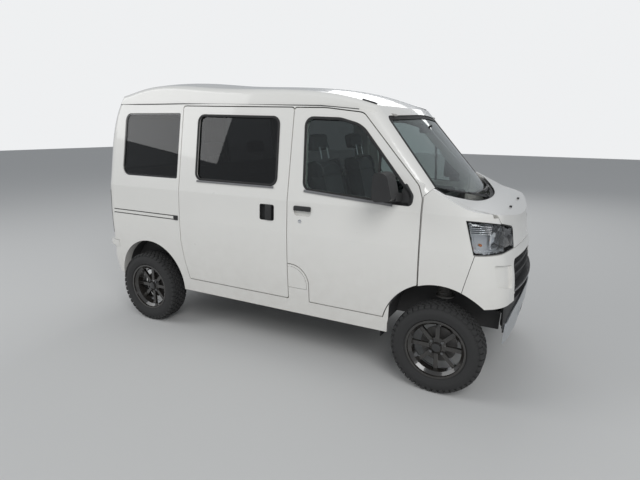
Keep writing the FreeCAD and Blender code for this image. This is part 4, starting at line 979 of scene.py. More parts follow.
@dataclass
class ScreenTrim:
    """Seals of windscreen and tailgate glass, wipers, roof shoulder trim and washer nozzles."""

    nodes: dict[str, Piece]
    screen: tuple[Corner, ...] = (
        (-0.652, 1.262, 0.06), (-0.572, 1.704, 0.046), (0.0, 1.724, 3.2), (0.572, 1.704, 0.046),
        (0.652, 1.262, 0.06), (0.480, 1.130, 0.3), (-0.480, 1.130, 0.3))
    gate_window: tuple[Corner, ...] = (
        (-0.560, 1.250, 0.06), (-0.502, 1.700, 0.07), (0.502, 1.700, 0.07), (0.560, 1.250, 0.06))

    def build(self) -> None:
        """Build the trim of both ends."""
        seal = band("windscreen_seal", self.screen, 0.026, 0.0, 0.005, 7)
        dressed(bent_piece(seal, self._on_screen), RUBBER, "root")
        rear = band("tailgate_glass_seal", self.gate_window, 0.016, 0.008, 0.012, 7)
        dressed(bent_piece(rear, self._on_gate_glass), RUBBER, "tailgate")
        self._wiper(1, (0.52, 1.196), (0.03, 1.205))
        self._wiper(2, (-0.04, 1.176), (-0.55, 1.268))
        self._rear_wiper()
        self._shoulder_trim()
        self._nozzles()

    def _on_screen(self, p: Vector) -> Vector:
        """Place of a flat point (across, thickness, height) on the windscreen's outer face."""
        y, z = p.x, p.z
        found = skin_point(self.nodes["windscreen"], (3.0, y * 0.985, z), (-1, 0, 0))
        x = found.x if found else SIZE.screen_x(y, z) - 0.012
        return Vector((x + 0.0005 + p.y, y, z))

    def _on_gate_glass(self, p: Vector) -> Vector:
        """Place of a flat point (across, thickness, height) on the tailgate glass."""
        y, z = p.x, p.z
        start = (-3.0, y * 0.985, 1.475 + (z - 1.475) * 0.97)
        found = skin_point(self.nodes["tailgate_glass"], start, (1, 0, 0))
        x = found.x if found else -1.63
        return Vector((x - p.y + 0.0005, y, z))

    def _wiper(self, number: int, pivot: tuple[float, float], tip: tuple[float, float]) -> None:
        """One front wiper that rests along the base of the screen.

        Args:
            number: Its number from the left.
            pivot: Across and height of the pivot.
            tip: Across and height of the blade's far end.
        """
        def strip(name: str, start: float, stop: float, wide: float, high: float, lift: float) -> Piece:
            bar = subdivided(block(name, (start, -wide / 2, 0), (stop, wide / 2, high)), 7)

            def place(p: Vector) -> Vector:
                y = pivot[0] + (tip[0] - pivot[0]) * p.x
                z = pivot[1] + (tip[1] - pivot[1]) * p.x + p.y
                return Vector((SIZE.screen_x(y, z) - 0.010 + lift + p.z, y, z))

            return bent_piece(bar, place)

        blade = joined("blade", [strip("rubber_lip", 0.06, 1.0, 0.004, 0.012, 0.0),
                                 strip("blade_back", 0.06, 1.0, 0.010, 0.006, 0.011),
                                 strip("arm", -0.02, 0.55, 0.014, 0.008, 0.020)])
        base_x = SIZE.screen_x(pivot[0], pivot[1]) + 0.004
        hub = disc("wiper_hub", (base_x, pivot[0], pivot[1]), (0.75, 0, 0.66), 0.019, 0.036, 32, 0.004)
        wiper = joined(f"wiper_{number}", [blade, hub])
        dressed(wiper, BLACK_PLASTIC, "root")

    def _rear_wiper(self) -> None:
        """Short wiper that lies across the foot of the tailgate glass."""
        pivot, reach = 1.205, 0.30
        x = self._on_gate_glass(Vector((0.0, 0.0, 1.275))).x
        hub = disc("rear_hub", (x - 0.020, 0.0, pivot), (-1, 0, 0.1), 0.022, 0.045, 32, 0.004)
        arm = block("rear_arm", (x - 0.034, 0.0, pivot - 0.008), (x - 0.024, 0.16, pivot + 0.008), 0.003)
        arm.data.transform(Matrix.Translation((0, 0, pivot)) @ Matrix.Rotation(math.radians(28), 4, "X")
                           @ Matrix.Translation((0, 0, -pivot)))
        blade = block("rear_blade", (x - 0.024, 0.02, 1.283), (x - 0.006, 0.02 + reach, 1.294), 0.003)
        dressed(joined("rear_wiper", [hub, arm, blade]), BLACK_PLASTIC, "tailgate")

    def _shoulder_trim(self) -> None:
        """Small dark capsule on each front roof shoulder."""
        roof = self.nodes["roof_panel"]
        for side, name in SIDES:
            piece = block("capsule", (0.655, -0.011, 0.0), (0.755, 0.011, 0.012), 0.005)
            with editing(piece):
                bpy.ops.mesh.bisect(plane_co=(0.705, 0, 0), plane_no=(1, 0, 0))

            def place(p: Vector) -> Vector:
                y = side * (0.560 + p.y)
                found = skin_point(roof, (p.x, y, 3.0), (0, 0, -1))
                return Vector((p.x, y, (found.z if found else 1.77) + p.z - 0.003))

            dressed(bent_piece(piece, place, f"shoulder_trim_{name}"), GLOSS_BLACK, "root")

    def _nozzles(self) -> None:
        """Two washer nozzles on the bonnet."""
        hood = self.nodes["bonnet"]
        for side, name in SIDES:
            x, y = 1.560, side * 0.215
            found = skin_point(hood, (x, y, 3.0), (0, 0, -1)) or Vector((x, y, 1.142))
            tip = disc("nozzle", found + Vector((0, 0, 0.002)), (0.3, 0, 1), 0.0085, 0.012, 24, 0.002)
            jet = block("jet", found + Vector((-0.006, -0.005, 0.004)), found + Vector((0.010, 0.005, 0.011)),
                        0.002)
            nozzle = joined(f"washer_nozzle_{name}", [tip, jet])
            dressed(nozzle, BLACK_PLASTIC, "bonnet")


OUTWARD = 0.45
LAMP_MERGE = 0.00005


@dataclass
class LampPair:
    """Lamps cut from a packed pair: clear lens outside, tray with its inner parts behind."""

    nodes: dict[str, Piece]
    lens_wall: float = 0.003
    tray_wall: float = 0.0015

    def headlamps(self) -> None:
        """Both headlamps with lens, tray, seal and inner parts."""
        dressed(self._rim("headlamp_seals", "headlamps", 1.0, 0.0032), RUBBER, "root")
        lens = self._part("headlamp_lenses", "headlamps", 1.0, True, self.lens_wall)
        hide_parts("headlamps")
        dressed(lens, LAMP_GLASS, "root")
        tray = self._part("headlamp_trays", "headlamps", 1.0, False, self.tray_wall)
        dressed(tray, LAMP_BEZEL, "root")
        for side, name in SIDES:
            self._headlamp_inside(side, name)

    def tail_lamps(self) -> None:
        """Both rear lamps with lens and tray."""
        dressed(self._rim("tail_lamp_seals", "tail_lamps", -1.2, 0.0025), RUBBER, "root")
        lens = self._part("tail_lamp_lenses", "tail_lamps", -1.2, True, self.lens_wall)
        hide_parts("tail_lamps")
        dressed(lens, TAIL_LENS, "root")
        tray = self._part("tail_lamp_trays", "tail_lamps", -1.2, False, self.tray_wall)
        dressed(tray, REFLECTOR, "root")

    def _part(self, name: str, node: str, centre_x: float, outside: bool, wall: float) -> Piece:
        """Outer faces of a packed lamp, or all others, with a wall.

        Args:
            name: Name of the new piece.
            node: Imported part.
            centre_x: Place on the middle plane from which the outside is judged.
            outside: True for the outer faces.
            wall: Thickness of the new wall.

        Returns:
            The new object.
        """
        return walled(self._faces(name, node, centre_x, outside), wall)

    def _rim(self, name: str, node: str, centre_x: float, radius: float) -> Piece:
        """Round seal along the edge of a packed lamp's outer faces.

        Args:
            name: Name of the new piece.
            node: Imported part.
            centre_x: Place on the middle plane from which the outside is judged.
            radius: Radius of the seal.

        Returns:
            The new object.
        """
        obj = self._faces(name, node, centre_x, True)
        with editing(obj, "EDGE"):
            bpy.ops.mesh.region_to_loop()
            bpy.ops.mesh.select_all(action="INVERT")
            bpy.ops.mesh.delete(type="EDGE")
            bpy.ops.mesh.select_all(action="SELECT")
            bpy.ops.mesh.delete(type="ONLY_FACE")
        bpy.ops.object.convert(target="CURVE")
        obj.data.bevel_depth = radius
        obj.data.bevel_resolution = 2
        bpy.ops.object.convert(target="MESH")
        return smoothed(recalculate(obj), 50)

    def _faces(self, name: str, node: str, centre_x: float, outside: bool) -> Piece:
        """Copy of a packed lamp with only its outer faces, or only the others.

        Args:
            name: Name of the copy.
            node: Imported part.
            centre_x: Place on the middle plane from which the outside is judged.
            outside: True for the outer faces.

        Returns:
            The new object.
        """
        source = self.nodes[node]
        obj = copied(source, name, source.matrix_world)
        obj.parent = None
        obj.matrix_world = Matrix.Identity(4)
        for key in list(obj.keys()):
            del obj[key]
        obj.hide_render = obj.hide_viewport = False
        recalculate(obj, LAMP_MERGE)

        def unwanted(face: bpy.types.MeshPolygon) -> bool:
            away = Vector((face.center.x - centre_x, face.center.y, 0.0)).normalized()
            return (face.normal.dot(away) > OUTWARD) != outside

        return drop_faces(obj, unwanted, "FACE")

    def _headlamp_inside(self, side: int, name: str) -> None:
        """Reflectors, ribs, bulbs and dark lens block of one headlamp.

        Args:
            side: 1 for the left lamp, -1 for the right.
            name: Name of the side.
        """
        ribs = []
        for i in range(5):
            z = 1.040 + 0.011 * i
            rib = block("rib", (1.405, 0.600, z), (1.520, 0.690, z + 0.004), 0.001)
            bent(rib, lambda p: Vector((p.x, p.y + (1.46 - p.x) * 0.28, p.z)))
            ribs.append(rib)
        dressed(sided(joined(f"headlamp_ribs_{name}", ribs), side), REFLECTOR, "root")
        bowl = self._bowl((1.536, 0.590, 0.985), (0.80, 0.60, 0.0), 0.050, 0.050)
        small = self._bowl((1.455, 0.655, 0.978), (0.55, 0.83, 0.0), 0.036, 0.030)
        fold = block("fold", (1.500, 0.500, 0.940), (1.512, 0.600, 1.060), 0.003)
        bent(fold, lambda p: Vector((p.x + (0.6 - p.y) * 0.35, p.y, p.z)))
        dressed(sided(joined(f"headlamp_reflectors_{name}", [bowl, small, fold]), side), REFLECTOR, "root")
        bulb = disc("bulb", (1.462, 0.672, 0.975), (0.55, 0.83, 0), 0.008, 0.030, 20, 0.004)
        dressed(sided(joined(f"headlamp_amber_{name}", [bulb]), side), LAMP_AMBER, "root")
        hood = disc("projector", (1.590, 0.478, 0.985), (0.9, 0.43, 0.0), 0.034, 0.030, 40, 0.006)
        shade = block("shade", (1.560, 0.440, 0.940), (1.580, 0.520, 1.035), 0.004)
        bent(shade, lambda p: Vector((p.x + (0.48 - p.y) * 0.45, p.y, p.z)))
        dressed(sided(joined(f"headlamp_projector_{name}", [hood, shade]), side), GLOSS_BLACK, "root")

    @staticmethod
    def _bowl(centre: Corner, axis: Corner, radius: float, depth: float) -> Piece:
        """Reflector bowl that opens along an axis.

        Args:
            centre: Middle of its mouth.
            axis: Direction of its opening.
            radius: Radius of its mouth.
            depth: Depth from mouth to floor.

        Returns:
            The new object.
        """
        deselect()
        turn = Vector(axis).to_track_quat("Z", "Y").to_euler()
        bpy.ops.mesh.primitive_uv_sphere_add(segments=32, ring_count=16, radius=radius, location=centre,
                                             rotation=turn)
        obj = bpy.context.object
        way = Vector(axis).normalized()
        with editing(obj):
            bpy.ops.mesh.bisect(plane_co=(0, 0, 0), plane_no=(0, 0, 1), clear_outer=True)
        settle(obj)
        shrink = depth / radius
        here = Vector(centre)
        bent(obj, lambda p: p + way * (p - here).dot(way) * (shrink - 1))
        return smoothed(walled(obj, 0.001), 60)


@dataclass
class NoseTrim:
    """Grille mesh with its slats and bar edge, bumper slots and wheel flaps."""

    half: float = 0.440
    low: float = 0.690
    high: float = 0.858
    depth: float = 0.038

    def build(self) -> None:
        """Build the pieces of the nose."""
        self._mesh()
        self._slats()
        self._slots()
        self._flaps()

    def nose_x(self, y: float, z: float) -> float:
        """Front surface of the bumper at a place across and a height."""
        rows = ((0.333, 1.6835), (0.640, 1.6975), (0.780, 1.6895), (0.920, 1.6555), (1.140, 1.6255))
        middle = rows[-1][1]
        for (z0, x0), (z1, x1) in zip(rows, rows[1:]):
            if z <= z1:
                middle = x0 + (x1 - x0) * (z - z0) / (z1 - z0)
                break
        return middle - (SIZE.nose_bow - math.sqrt(SIZE.nose_bow**2 - y**2))

    def _on_nose(self, p: Vector, lift: float) -> Vector:
        """Place of a flat point (across, thickness, height) on the nose."""
        return Vector((self.nose_x(p.x, p.z) + lift + p.y, p.x, p.z))

    def _mesh(self) -> None:
        """Fine mesh in the grille mouth."""
        deselect()
        bpy.ops.mesh.primitive_grid_add(x_subdivisions=72, y_subdivisions=15, size=1.0)
        mesh = bpy.context.object
        wide, tall = 2 * self.half, self.high - self.low
        bent(mesh, lambda p: Vector((p.x * wide, 0.0, (self.high + self.low) / 2 + p.y * tall)))
        wire = mesh.modifiers.new("wires", "WIREFRAME")
        wire.thickness = 0.0035
        wire.use_even_offset = True
        apply_modifiers(mesh)
        bent(mesh, lambda p: self._on_nose(p, -self.depth))
        mesh.name = "grille_mesh"
        dressed(mesh, BLACK_PLASTIC, "root")

    def _slats(self) -> None:
        """Two slats across the grille mouth and the thin grey bar edge below it."""
        for number, z in enumerate((0.752, 0.806), 1):
            slat = block("slat", (-self.half, -0.010, z - 0.006), (self.half, 0.010, z + 0.006))
            subdivided(slat, 15)
            bent_piece(slat, lambda p: self._on_nose(p, 0.012 - self.depth), f"grille_slat_{number}")
            dressed(slat, BLACK_PLASTIC, "root")
        edge = subdivided(block("bar_edge", (-0.452, 0.0, 0.661), (0.452, 0.004, 0.668)), 15)
        bent_piece(edge, lambda p: self._on_nose(p, 0.0), "grille_bar_edge")
        dressed(edge, BELT_STRIP, "root")

    def _slots(self) -> None:
        """Two small black slots beside each lower bonnet corner."""
        for side, name in SIDES:
            pieces = []
            for z, y in ((0.897, 0.400), (0.875, 0.398)):
                slot = block("slot", (y - 0.009, -0.003, z - 0.006), (y + 0.009, 0.001, z + 0.006), 0.001)
                pieces.append(bent_piece(slot, lambda p: self._on_nose(Vector((side * p.x, p.y, p.z)), 0.0)))
            dressed(joined(f"nose_slots_{name}", pieces), BLACK_PLASTIC, "root")

    def _flaps(self) -> None:
        """Thin rubber flap behind each front wheel."""
        for side, name in SIDES:
            low, high = sorted((side * 0.575, side * 0.700))
            flap = block(f"wheel_flap_{name}", (0.886, low, 0.290), (0.891, high, 0.480), 0.0015)
            dressed(flap, RUBBER, "root")


@dataclass(frozen=True)
class PadShape:
    """One padded piece: its block, how it leans and where it is sewn."""

    name: str
    low: Corner
    high: Corner
    lean: float
    pivot: tuple[float, float]
    crown: float
    bolster: float
    seams_y: tuple[float, ...]
    seam_along: float
    fill: float


@dataclass
class Seats:
    """Front seats and rear bench as padded cloth, filled by one cloth run."""

    frames: int = 20
    pressure: float = 4.0
    reach: float = 0.024
    driver_y: float = -0.325

    def build(self) -> None:
        """Make, fill, sew and dress every seat."""
        front = [
            PadShape("cushion", (0.362, -0.222, 0.818), (0.796, 0.222, 0.898), 0.0, (0.0, 0.0), 0.010,
                     0.016, (0.145,), 0.655, 0.6),
            PadShape("back", (0.330, -0.212, 0.925), (0.408, 0.212, 1.420), -14.0, (0.385, 0.90), 0.008,
                     0.022, (0.135,), 1.290, 0.6),
            PadShape("head_rest", (0.334, -0.118, 1.486), (0.396, 0.118, 1.600), -14.0, (0.385, 0.90),
                     0.010, 0.0, (), 0.0, 0.7),
        ]
        bench = [
            PadShape("cushion", (-0.702, -0.575, 0.822), (-0.292, 0.575, 0.906), 2.0, (-0.5, 0.8), 0.008,
                     0.0, (0.0, 0.30), -0.46, 0.5),
            PadShape("back", (-0.712, -0.575, 0.935), (-0.636, 0.575, 1.360), -11.5, (-0.66, 0.91), 0.008,
                     0.0, (0.0, 0.30), 1.20, 0.5),
        ]
        rest = PadShape("head_rest_left", (-0.710, 0.195, 1.408), (-0.650, 0.405, 1.510), -11.5,
                        (-0.66, 0.91), 0.010, 0.0, (), 0.0, 0.7)
        driver = [(shape, self._start(shape, self.driver_y, 0.008)) for shape in front]
        rear = [(shape, self._start(shape, 0.0, 0.010)) for shape in bench]
        rear.append((rest, self._start(rest, 0.0, 0.008)))
        self._fill([pad for _, pad in driver + rear])
        for shape, pad in driver:
            self._sew(pad, shape, self.driver_y)
            twin = copied(pad, f"passenger_{shape.name}", MIRROR_Y)
            pad.name = f"driver_{shape.name}"
            for piece, node in ((pad, "driver_seat"), (twin, "passenger_seat")):
                self._dress(piece, shape, node)
        for shape, pad in rear:
            self._sew(pad, shape, 0.0)
            pad.name = f"bench_{shape.name}"
            self._dress(pad, shape, "rear_bench")
        self._dress(copied(rear[-1][1], "bench_head_rest_right", MIRROR_Y), rest, "rear_bench")
        self._frames()

    def _start(self, shape: PadShape, y: float, voxel: float) -> Piece:
        """Block of one pad, shaped and remeshed, before it is filled.

        Args:
            shape: What the pad is like.
            y: Middle of the pad across the van.
            voxel: Size of the remeshed faces.

        Returns:
            The new object.
        """
        pad = block(shape.name, shape.low, shape.high, 0.018)
        subdivided(pad, 6)
        upright = shape.lean != 0.0 and shape.high[2] - shape.low[2] > shape.high[0] - shape.low[0]
        half = (shape.high[1] - shape.low[1]) / 2
        middle = (shape.high[1] + shape.low[1]) / 2
        pivot = Vector((shape.pivot[0], 0.0, shape.pivot[1]))
        turn = Matrix.Rotation(math.radians(shape.lean), 3, "Y")

        def place(p: Vector) -> Vector:
            across = (p.y - middle) / half
            lift = shape.crown * (1 - across**2) + shape.bolster * max(abs(across) - 0.62, 0.0) / 0.38
            front = (p.x - shape.low[0]) / (shape.high[0] - shape.low[0])
            above = (p.z - shape.low[2]) / (shape.high[2] - shape.low[2])
            if upright:
                moved = Vector((p.x + lift * front, p.y, p.z))
            else:
                moved = Vector((p.x, p.y, p.z + lift * above))
            return pivot + turn @ (moved - pivot) + Vector((0, y, 0))

        bent(pad, place)
        pad.data.remesh_voxel_size = voxel
        activate(pad)
        bpy.ops.object.voxel_remesh()
        return pad

    def _fill(self, pads: list[Piece]) -> None:
        """Blow up all pads together and hold each point within its reach.

        Args:
            pads: Remeshed pads.
        """
        scene = bpy.context.scene
        starts = []
        for pad in pads:
            starts.append([vertex.co.copy() for vertex in pad.data.vertices])
            cloth = pad.modifiers.new("fill", "CLOTH")
            cloth.settings.use_pressure = True
            cloth.settings.uniform_pressure_force = self.pressure
            cloth.settings.effector_weights.gravity = 0.0
            cloth.point_cache.frame_start = 1
            cloth.point_cache.frame_end = self.frames
        for number in range(1, self.frames + 1):
            scene.frame_set(number)
        for pad, start in zip(pads, starts):
            apply_modifiers(pad)
            for vertex, home in zip(pad.data.vertices, start):
                move = vertex.co - home
                if move.length > self.reach:
                    vertex.co = home + move.normalized() * self.reach
        scene.frame_set(1)

    def _sew(self, pad: Piece, shape: PadShape, y: float) -> None:
        """Smooth a filled pad and press its seams in.

        Args:
            pad: Filled pad.
            shape: What the pad is like.
            y: Middle of the pad across the van.
        """
        finer = pad.modifiers.new("finer", "SUBSURF")
        finer.levels = finer.render_levels = 1
        apply_modifiers(pad)
        upright = shape.high[2] - shape.low[2] > shape.high[0] - shape.low[0]
        moves = []
        for vertex in pad.data.vertices:
            lines = [abs(abs(vertex.co.y - y) - seam) for seam in shape.seams_y]
            if shape.seams_y:
                along = vertex.co.z if upright else vertex.co.x
                lines.append(abs(along - shape.seam_along))
            near = min(lines, default=1.0)
            moves.append(vertex.normal * (-0.007 * math.exp(-(near / 0.0055) ** 2)))
        for vertex, move in zip(pad.data.vertices, moves):
            vertex.co += move
        activate(pad)
        bpy.ops.object.shade_smooth()

    def _dress(self, pad: Piece, shape: PadShape, node: str) -> None:
        """Cloth in the middle, darker cloth on the bolsters, and what the pad stands for.

        Args:
            pad: Finished pad.
            shape: What the pad is like.
            node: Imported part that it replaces.
        """
        dressed(pad, SEAT_CLOTH, "root")
        if shape.bolster > 0:
            pad.data.materials.append(SEAT_SIDE.material())
            middle = self.driver_y if node == "driver_seat" else -self.driver_y
            for face in pad.data.polygons:
                face.material_index = 1 if abs(face.center.y - middle) > shape.seams_y[0] else 0
        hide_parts(node)

    def _frames(self) -> None:
        """Steel posts of the head rests, hinge covers and the bench base."""
        for y, name in ((self.driver_y, "driver"), (-self.driver_y, "passenger")):
            posts = [disc("post", (0.262, y + s * 0.055, 1.455), (-0.25, 0, 1), 0.006, 0.10, 16)
                     for s in (-1, 1)]
            dressed(joined(f"{name}_head_rest_posts", posts), CHROME, "root")
            covers = [block("cover", (0.355, middle - 0.012, 0.815), (0.455, middle + 0.012, 0.965), 0.010)
                      for middle in (y - 0.244, y + 0.244)]
            dressed(joined(f"{name}_hinge_covers", covers), BLACK_PLASTIC, "root")
        posts = [disc("post", (-0.752, s * 0.30 + d, 1.392), (-0.2, 0, 1), 0.006, 0.08, 16)
                 for s in (-1, 1) for d in (-0.05, 0.05)]
        dressed(joined("bench_head_rest_posts", posts), CHROME, "root")
        base = block("bench_base", (-0.69, -0.515, 0.6415), (-0.335, 0.515, 0.815), 0.008)
        dressed(base, BLACK_PLASTIC, "root")


SUNK = 0.004


@dataclass
class Cabin:
    """Dashboard fittings, wheel pad, door cards, door steps, headliner, visors and mirrors."""

    nodes: dict[str, Piece]
    wheel_centre: Corner = (0.815, -0.325, 1.165)
    wheel_axis: Corner = (-0.72, 0.0, 0.69)

    def build(self) -> None:
        """Build every fitting of the cabin."""
        self._instruments()
        self._centre_stack()
        self._wheel_fittings()
        self._door_cards()
        self._steps()
        self._headliner()
        self._inner_mirror()
        self._mirror_glass()

    @staticmethod
    def _face_x(z: float) -> float:
        """Rear face of the dashboard at a height."""
        if z < 1.010:
            return 1.010 - 0.050 * (z - 0.820) / 0.190
        return 0.960 + 0.015 * (z - 1.010) / 0.100

    def _panel(self, name: str, corners: Sequence[Corner], thick: float, finish: Finish,
               rounding: float = 0.002) -> None:
        """Flat fitting on the rear face of the dashboard.

        Args:
            name: Name of the piece.
            corners: Corners as across, height and radius.
            thick: How far it stands out.
            finish: Its finish.
            rounding: Width of its edge rounding.
        """
        piece = plate(name, corners, thick + SUNK)
        bent_piece(piece, lambda p: Vector((self._face_x(p.z) + SUNK - p.y, p.x, p.z)))
        dressed(bevelled(piece, rounding), finish, "root")

    def _instruments(self) -> None:
        """Hood over the dials, the dial face and two dial rings."""
        hood = block("dial_hood", (0.965, -0.475, 1.105), (1.085, -0.175, 1.186), 0.022)
        bent(hood, lambda p: Vector((p.x, p.y, p.z - max(p.x - 1.0, 0.0) * 0.45)))
        dressed(hood, DASH_PLASTIC, "root")
        face = plate("dial_face", ((-0.455, 1.112, 0.01), (-0.195, 1.112, 0.01), (-0.205, 1.172, 0.02),
                                   (-0.445, 1.172, 0.02)), 0.004)
        dressed(bent_piece(face, lambda p: Vector((0.964 - p.y, p.x, p.z))), DIAL_FACE, "root")
        for number, (y, radius) in enumerate(((-0.355, 0.027), (-0.255, 0.021)), 1):
            dial = disc("dial", (0.9585, y, 1.142), (-1, 0, 0), radius, 0.004, 40, 0.001)
            dressed(joined(f"dial_ring_{number}", [dial]), BELT_STRIP, "root")

    def _centre_stack(self) -> None:
        """Vents, audio unit, heater knobs, glove box, gear lever and pedals."""
        self._panel("centre_panel", ((-0.115, 0.895, 0.02), (0.115, 0.895, 0.02), (0.125, 1.098, 0.02),
                                     (-0.125, 1.098, 0.02)), 0.003, BLACK_PLASTIC)
        self._panel("audio_unit", ((-0.090, 0.975, 0.004), (0.090, 0.975, 0.004), (0.090, 1.026, 0.004),
                                   (-0.090, 1.026, 0.004)), 0.007, GLOSS_BLACK)
        self._panel("glove_lid", ((0.170, 0.860, 0.02), (0.520, 0.860, 0.02), (0.520, 1.000, 0.02),
                                  (0.170, 1.000, 0.02)), 0.004, DASH_PLASTIC, 0.0015)
        vents = {"inner_right": -0.058, "inner_left": 0.058, "outer_right": -0.540, "outer_left": 0.540}
        for name, y in vents.items():
            slats = []
            for i in range(5):
                z = 1.042 + 0.010 * i
                x = self._face_x(z)
                low, high = (x - 0.008, y - 0.044, z), (x + 0.006, y + 0.044, z + 0.003)
                slats.append(block("slat", low, high, 0.001))
            dressed(joined(f"vent_{name}", slats), GLOSS_BLACK, "root")
        knobs = []
        for y in (-0.062, 0.0, 0.062):
            x = self._face_x(0.930)
            knobs.append(disc("knob", (x - 0.008, y, 0.930), (-1, 0, 0.25), 0.017, 0.026, 28, 0.003))
        dressed(joined("heater_knobs", knobs), BLACK_PLASTIC, "root")
        stem = disc("stem", (0.925, -0.120, 1.000), (-0.9, 0, 0.42), 0.007, 0.13, 16)
        grip = disc("grip", (0.858, -0.120, 1.031), (-0.9, 0, 0.42), 0.019, 0.052, 28, 0.008)
        dressed(joined("gear_lever", [stem, grip]), BLACK_PLASTIC, "root")
        pedals = []
        for y, wide in ((-0.300, 0.034), (-0.425, 0.024)):
            pedals.append(block("pad", (0.975, y - wide, 0.700), (0.990, y + wide, 0.765), 0.004))
            pedals.append(disc("rod", (1.035, y, 0.785), (0.75, 0, 0.66), 0.006, 0.14, 16))
        dressed(joined("pedals", pedals), BLACK_PLASTIC, "root")

    def _wheel_fittings(self) -> None:
        """Centre pad, column cover and two stalks of the steering wheel."""
        centre, axis = Vector(self.wheel_centre), Vector(self.wheel_axis).normalized()
        pad = disc("wheel_pad", centre + axis * 0.006, axis, 0.075, 0.034, 40, 0.012)
        dressed(pad, DASH_PLASTIC, "root")
        cover = disc("column_cover", centre - axis * 0.110, axis, 0.052, 0.150, 40, 0.012)
        dressed(cover, DASH_PLASTIC, "root")
        place = centre - axis * 0.060
        stalks = []
        for side in (-1, 1):
            axis = (0, side, 0.12)
            stalk, tip = Vector((0, side * 0.105, 0.012)), Vector((0, side * 0.165, 0.019))
            stalks.append(disc("stalk", place + stalk, axis, 0.0065, 0.115, 16, 0.002))
            stalks.append(disc("tip", place + tip, axis, 0.010, 0.035, 20, 0.004))
        dressed(joined("column_stalks", stalks), BLACK_PLASTIC, "root")

    def _door_cards(self) -> None:
        """Inner panels of the front and sliding doors, with arm rests."""
        front = ((0.245, 0.520, 0.02), (0.245, 1.175, 0.02), (1.020, 1.150, 0.03), (1.020, 0.820, 0.08),
                 (0.900, 0.760, 0.06), (0.820, 0.520, 0.04))
        side_plates("front_door_card", front, 0.005, -0.0735, DOOR_CARD, FRONT_DOORS)
        slide = ((-0.740, 0.500, 0.02), (-0.740, 1.190, 0.02), (0.135, 1.190, 0.02), (0.135, 0.500, 0.02))
        side_plates("slide_door_card", slide, 0.005, -0.0735, DOOR_CARD)
        for side, name in SIDES:
            rest = block("arm_rest", (0.330, 0.612, 0.925), (0.760, 0.664, 0.972), 0.012)
            pull = block("pull", (0.640, 0.642, 1.040), (0.770, 0.664, 1.068), 0.006)
            whole = sided(joined(f"arm_rest_{name}", [rest, pull]), side)
            dressed(whole, BLACK_PLASTIC, f"front_door_{name}")

    def _steps(self) -> None:
        """Ribbed risers between the sills and the floor in the front door openings."""
        for side, name in SIDES:
            pieces = [block("riser", (0.240, 0.6370, 0.418), (0.892, 0.6405, 0.612), 0.001)]
            pieces += [block("rib", (0.280, 0.6395, z), (0.850, 0.6440, z + 0.024), 0.002)
                       for z in (0.462, 0.512, 0.562)]
            dressed(sided(joined(f"step_riser_{name}", pieces), side), BODY_PAINT, "root")

    def _headliner(self) -> None:
        """Felt lining that follows the inside of the roof."""
        roof = self.nodes["roof_panel"]
        deselect()
        bpy.ops.mesh.primitive_grid_add(x_subdivisions=24, y_subdivisions=14, size=1.0)
        lining = bpy.context.object
        lining.name = "headliner"

        def place(p: Vector) -> Vector:
            x, y = -0.42 + p.x * 2.0, p.y * 1.06
            found = skin_point(roof, (x, y, 1.60), (0, 0, 1))
            return Vector((x, y, (found.z if found else 1.85) - 0.006))

        bent(lining, place)
        dressed(smoothed(walled(lining, 0.004)), HEADLINER, "root")

    def _inner_mirror(self) -> None:
        """Mirror on a short stem behind the top of the windscreen, and two sun visors."""
        x = SIZE.screen_x(0.0, 1.62) - 0.055
        housing = block("inner_mirror_housing", (x - 0.022, -0.115, 1.595), (x, 0.115, 1.655), 0.010)
        stem = disc("stem", (x + 0.015, 0.0, 1.640), (1, 0, 0.35), 0.007, 0.05, 16)
        dressed(joined("inner_mirror", [housing, stem]), BLACK_PLASTIC, "root")
        for side, name in SIDES:
            low, high = sorted((side * 0.13, side * 0.50))
            visor = block(f"sun_visor_{name}", (0.690, low, 1.738), (0.850, high, 1.752), 0.006)
            bent(visor, lambda p: Vector((p.x, p.y, p.z - (p.x - 0.690) * 0.30 + 0.010)))
            dressed(visor, HEADLINER, "root")

    def _mirror_glass(self) -> None:
        """Mirror glass in the rear face of each door mirror."""
        corners = ((0.802, 1.228, 0.022), (0.918, 1.228, 0.022), (0.918, 1.362, 0.022), (0.802, 1.362, 0.022))
        for side, name in SIDES:
            glass = plate(f"mirror_glass_{name}", corners, 0.003)
            bent_piece(glass, lambda p: Vector((0.8795 + (p.z - 1.21) * 0.0235 - p.y, side * p.x, p.z)))
            dressed(glass, MIRROR_GLASS, f"front_door_{name}")


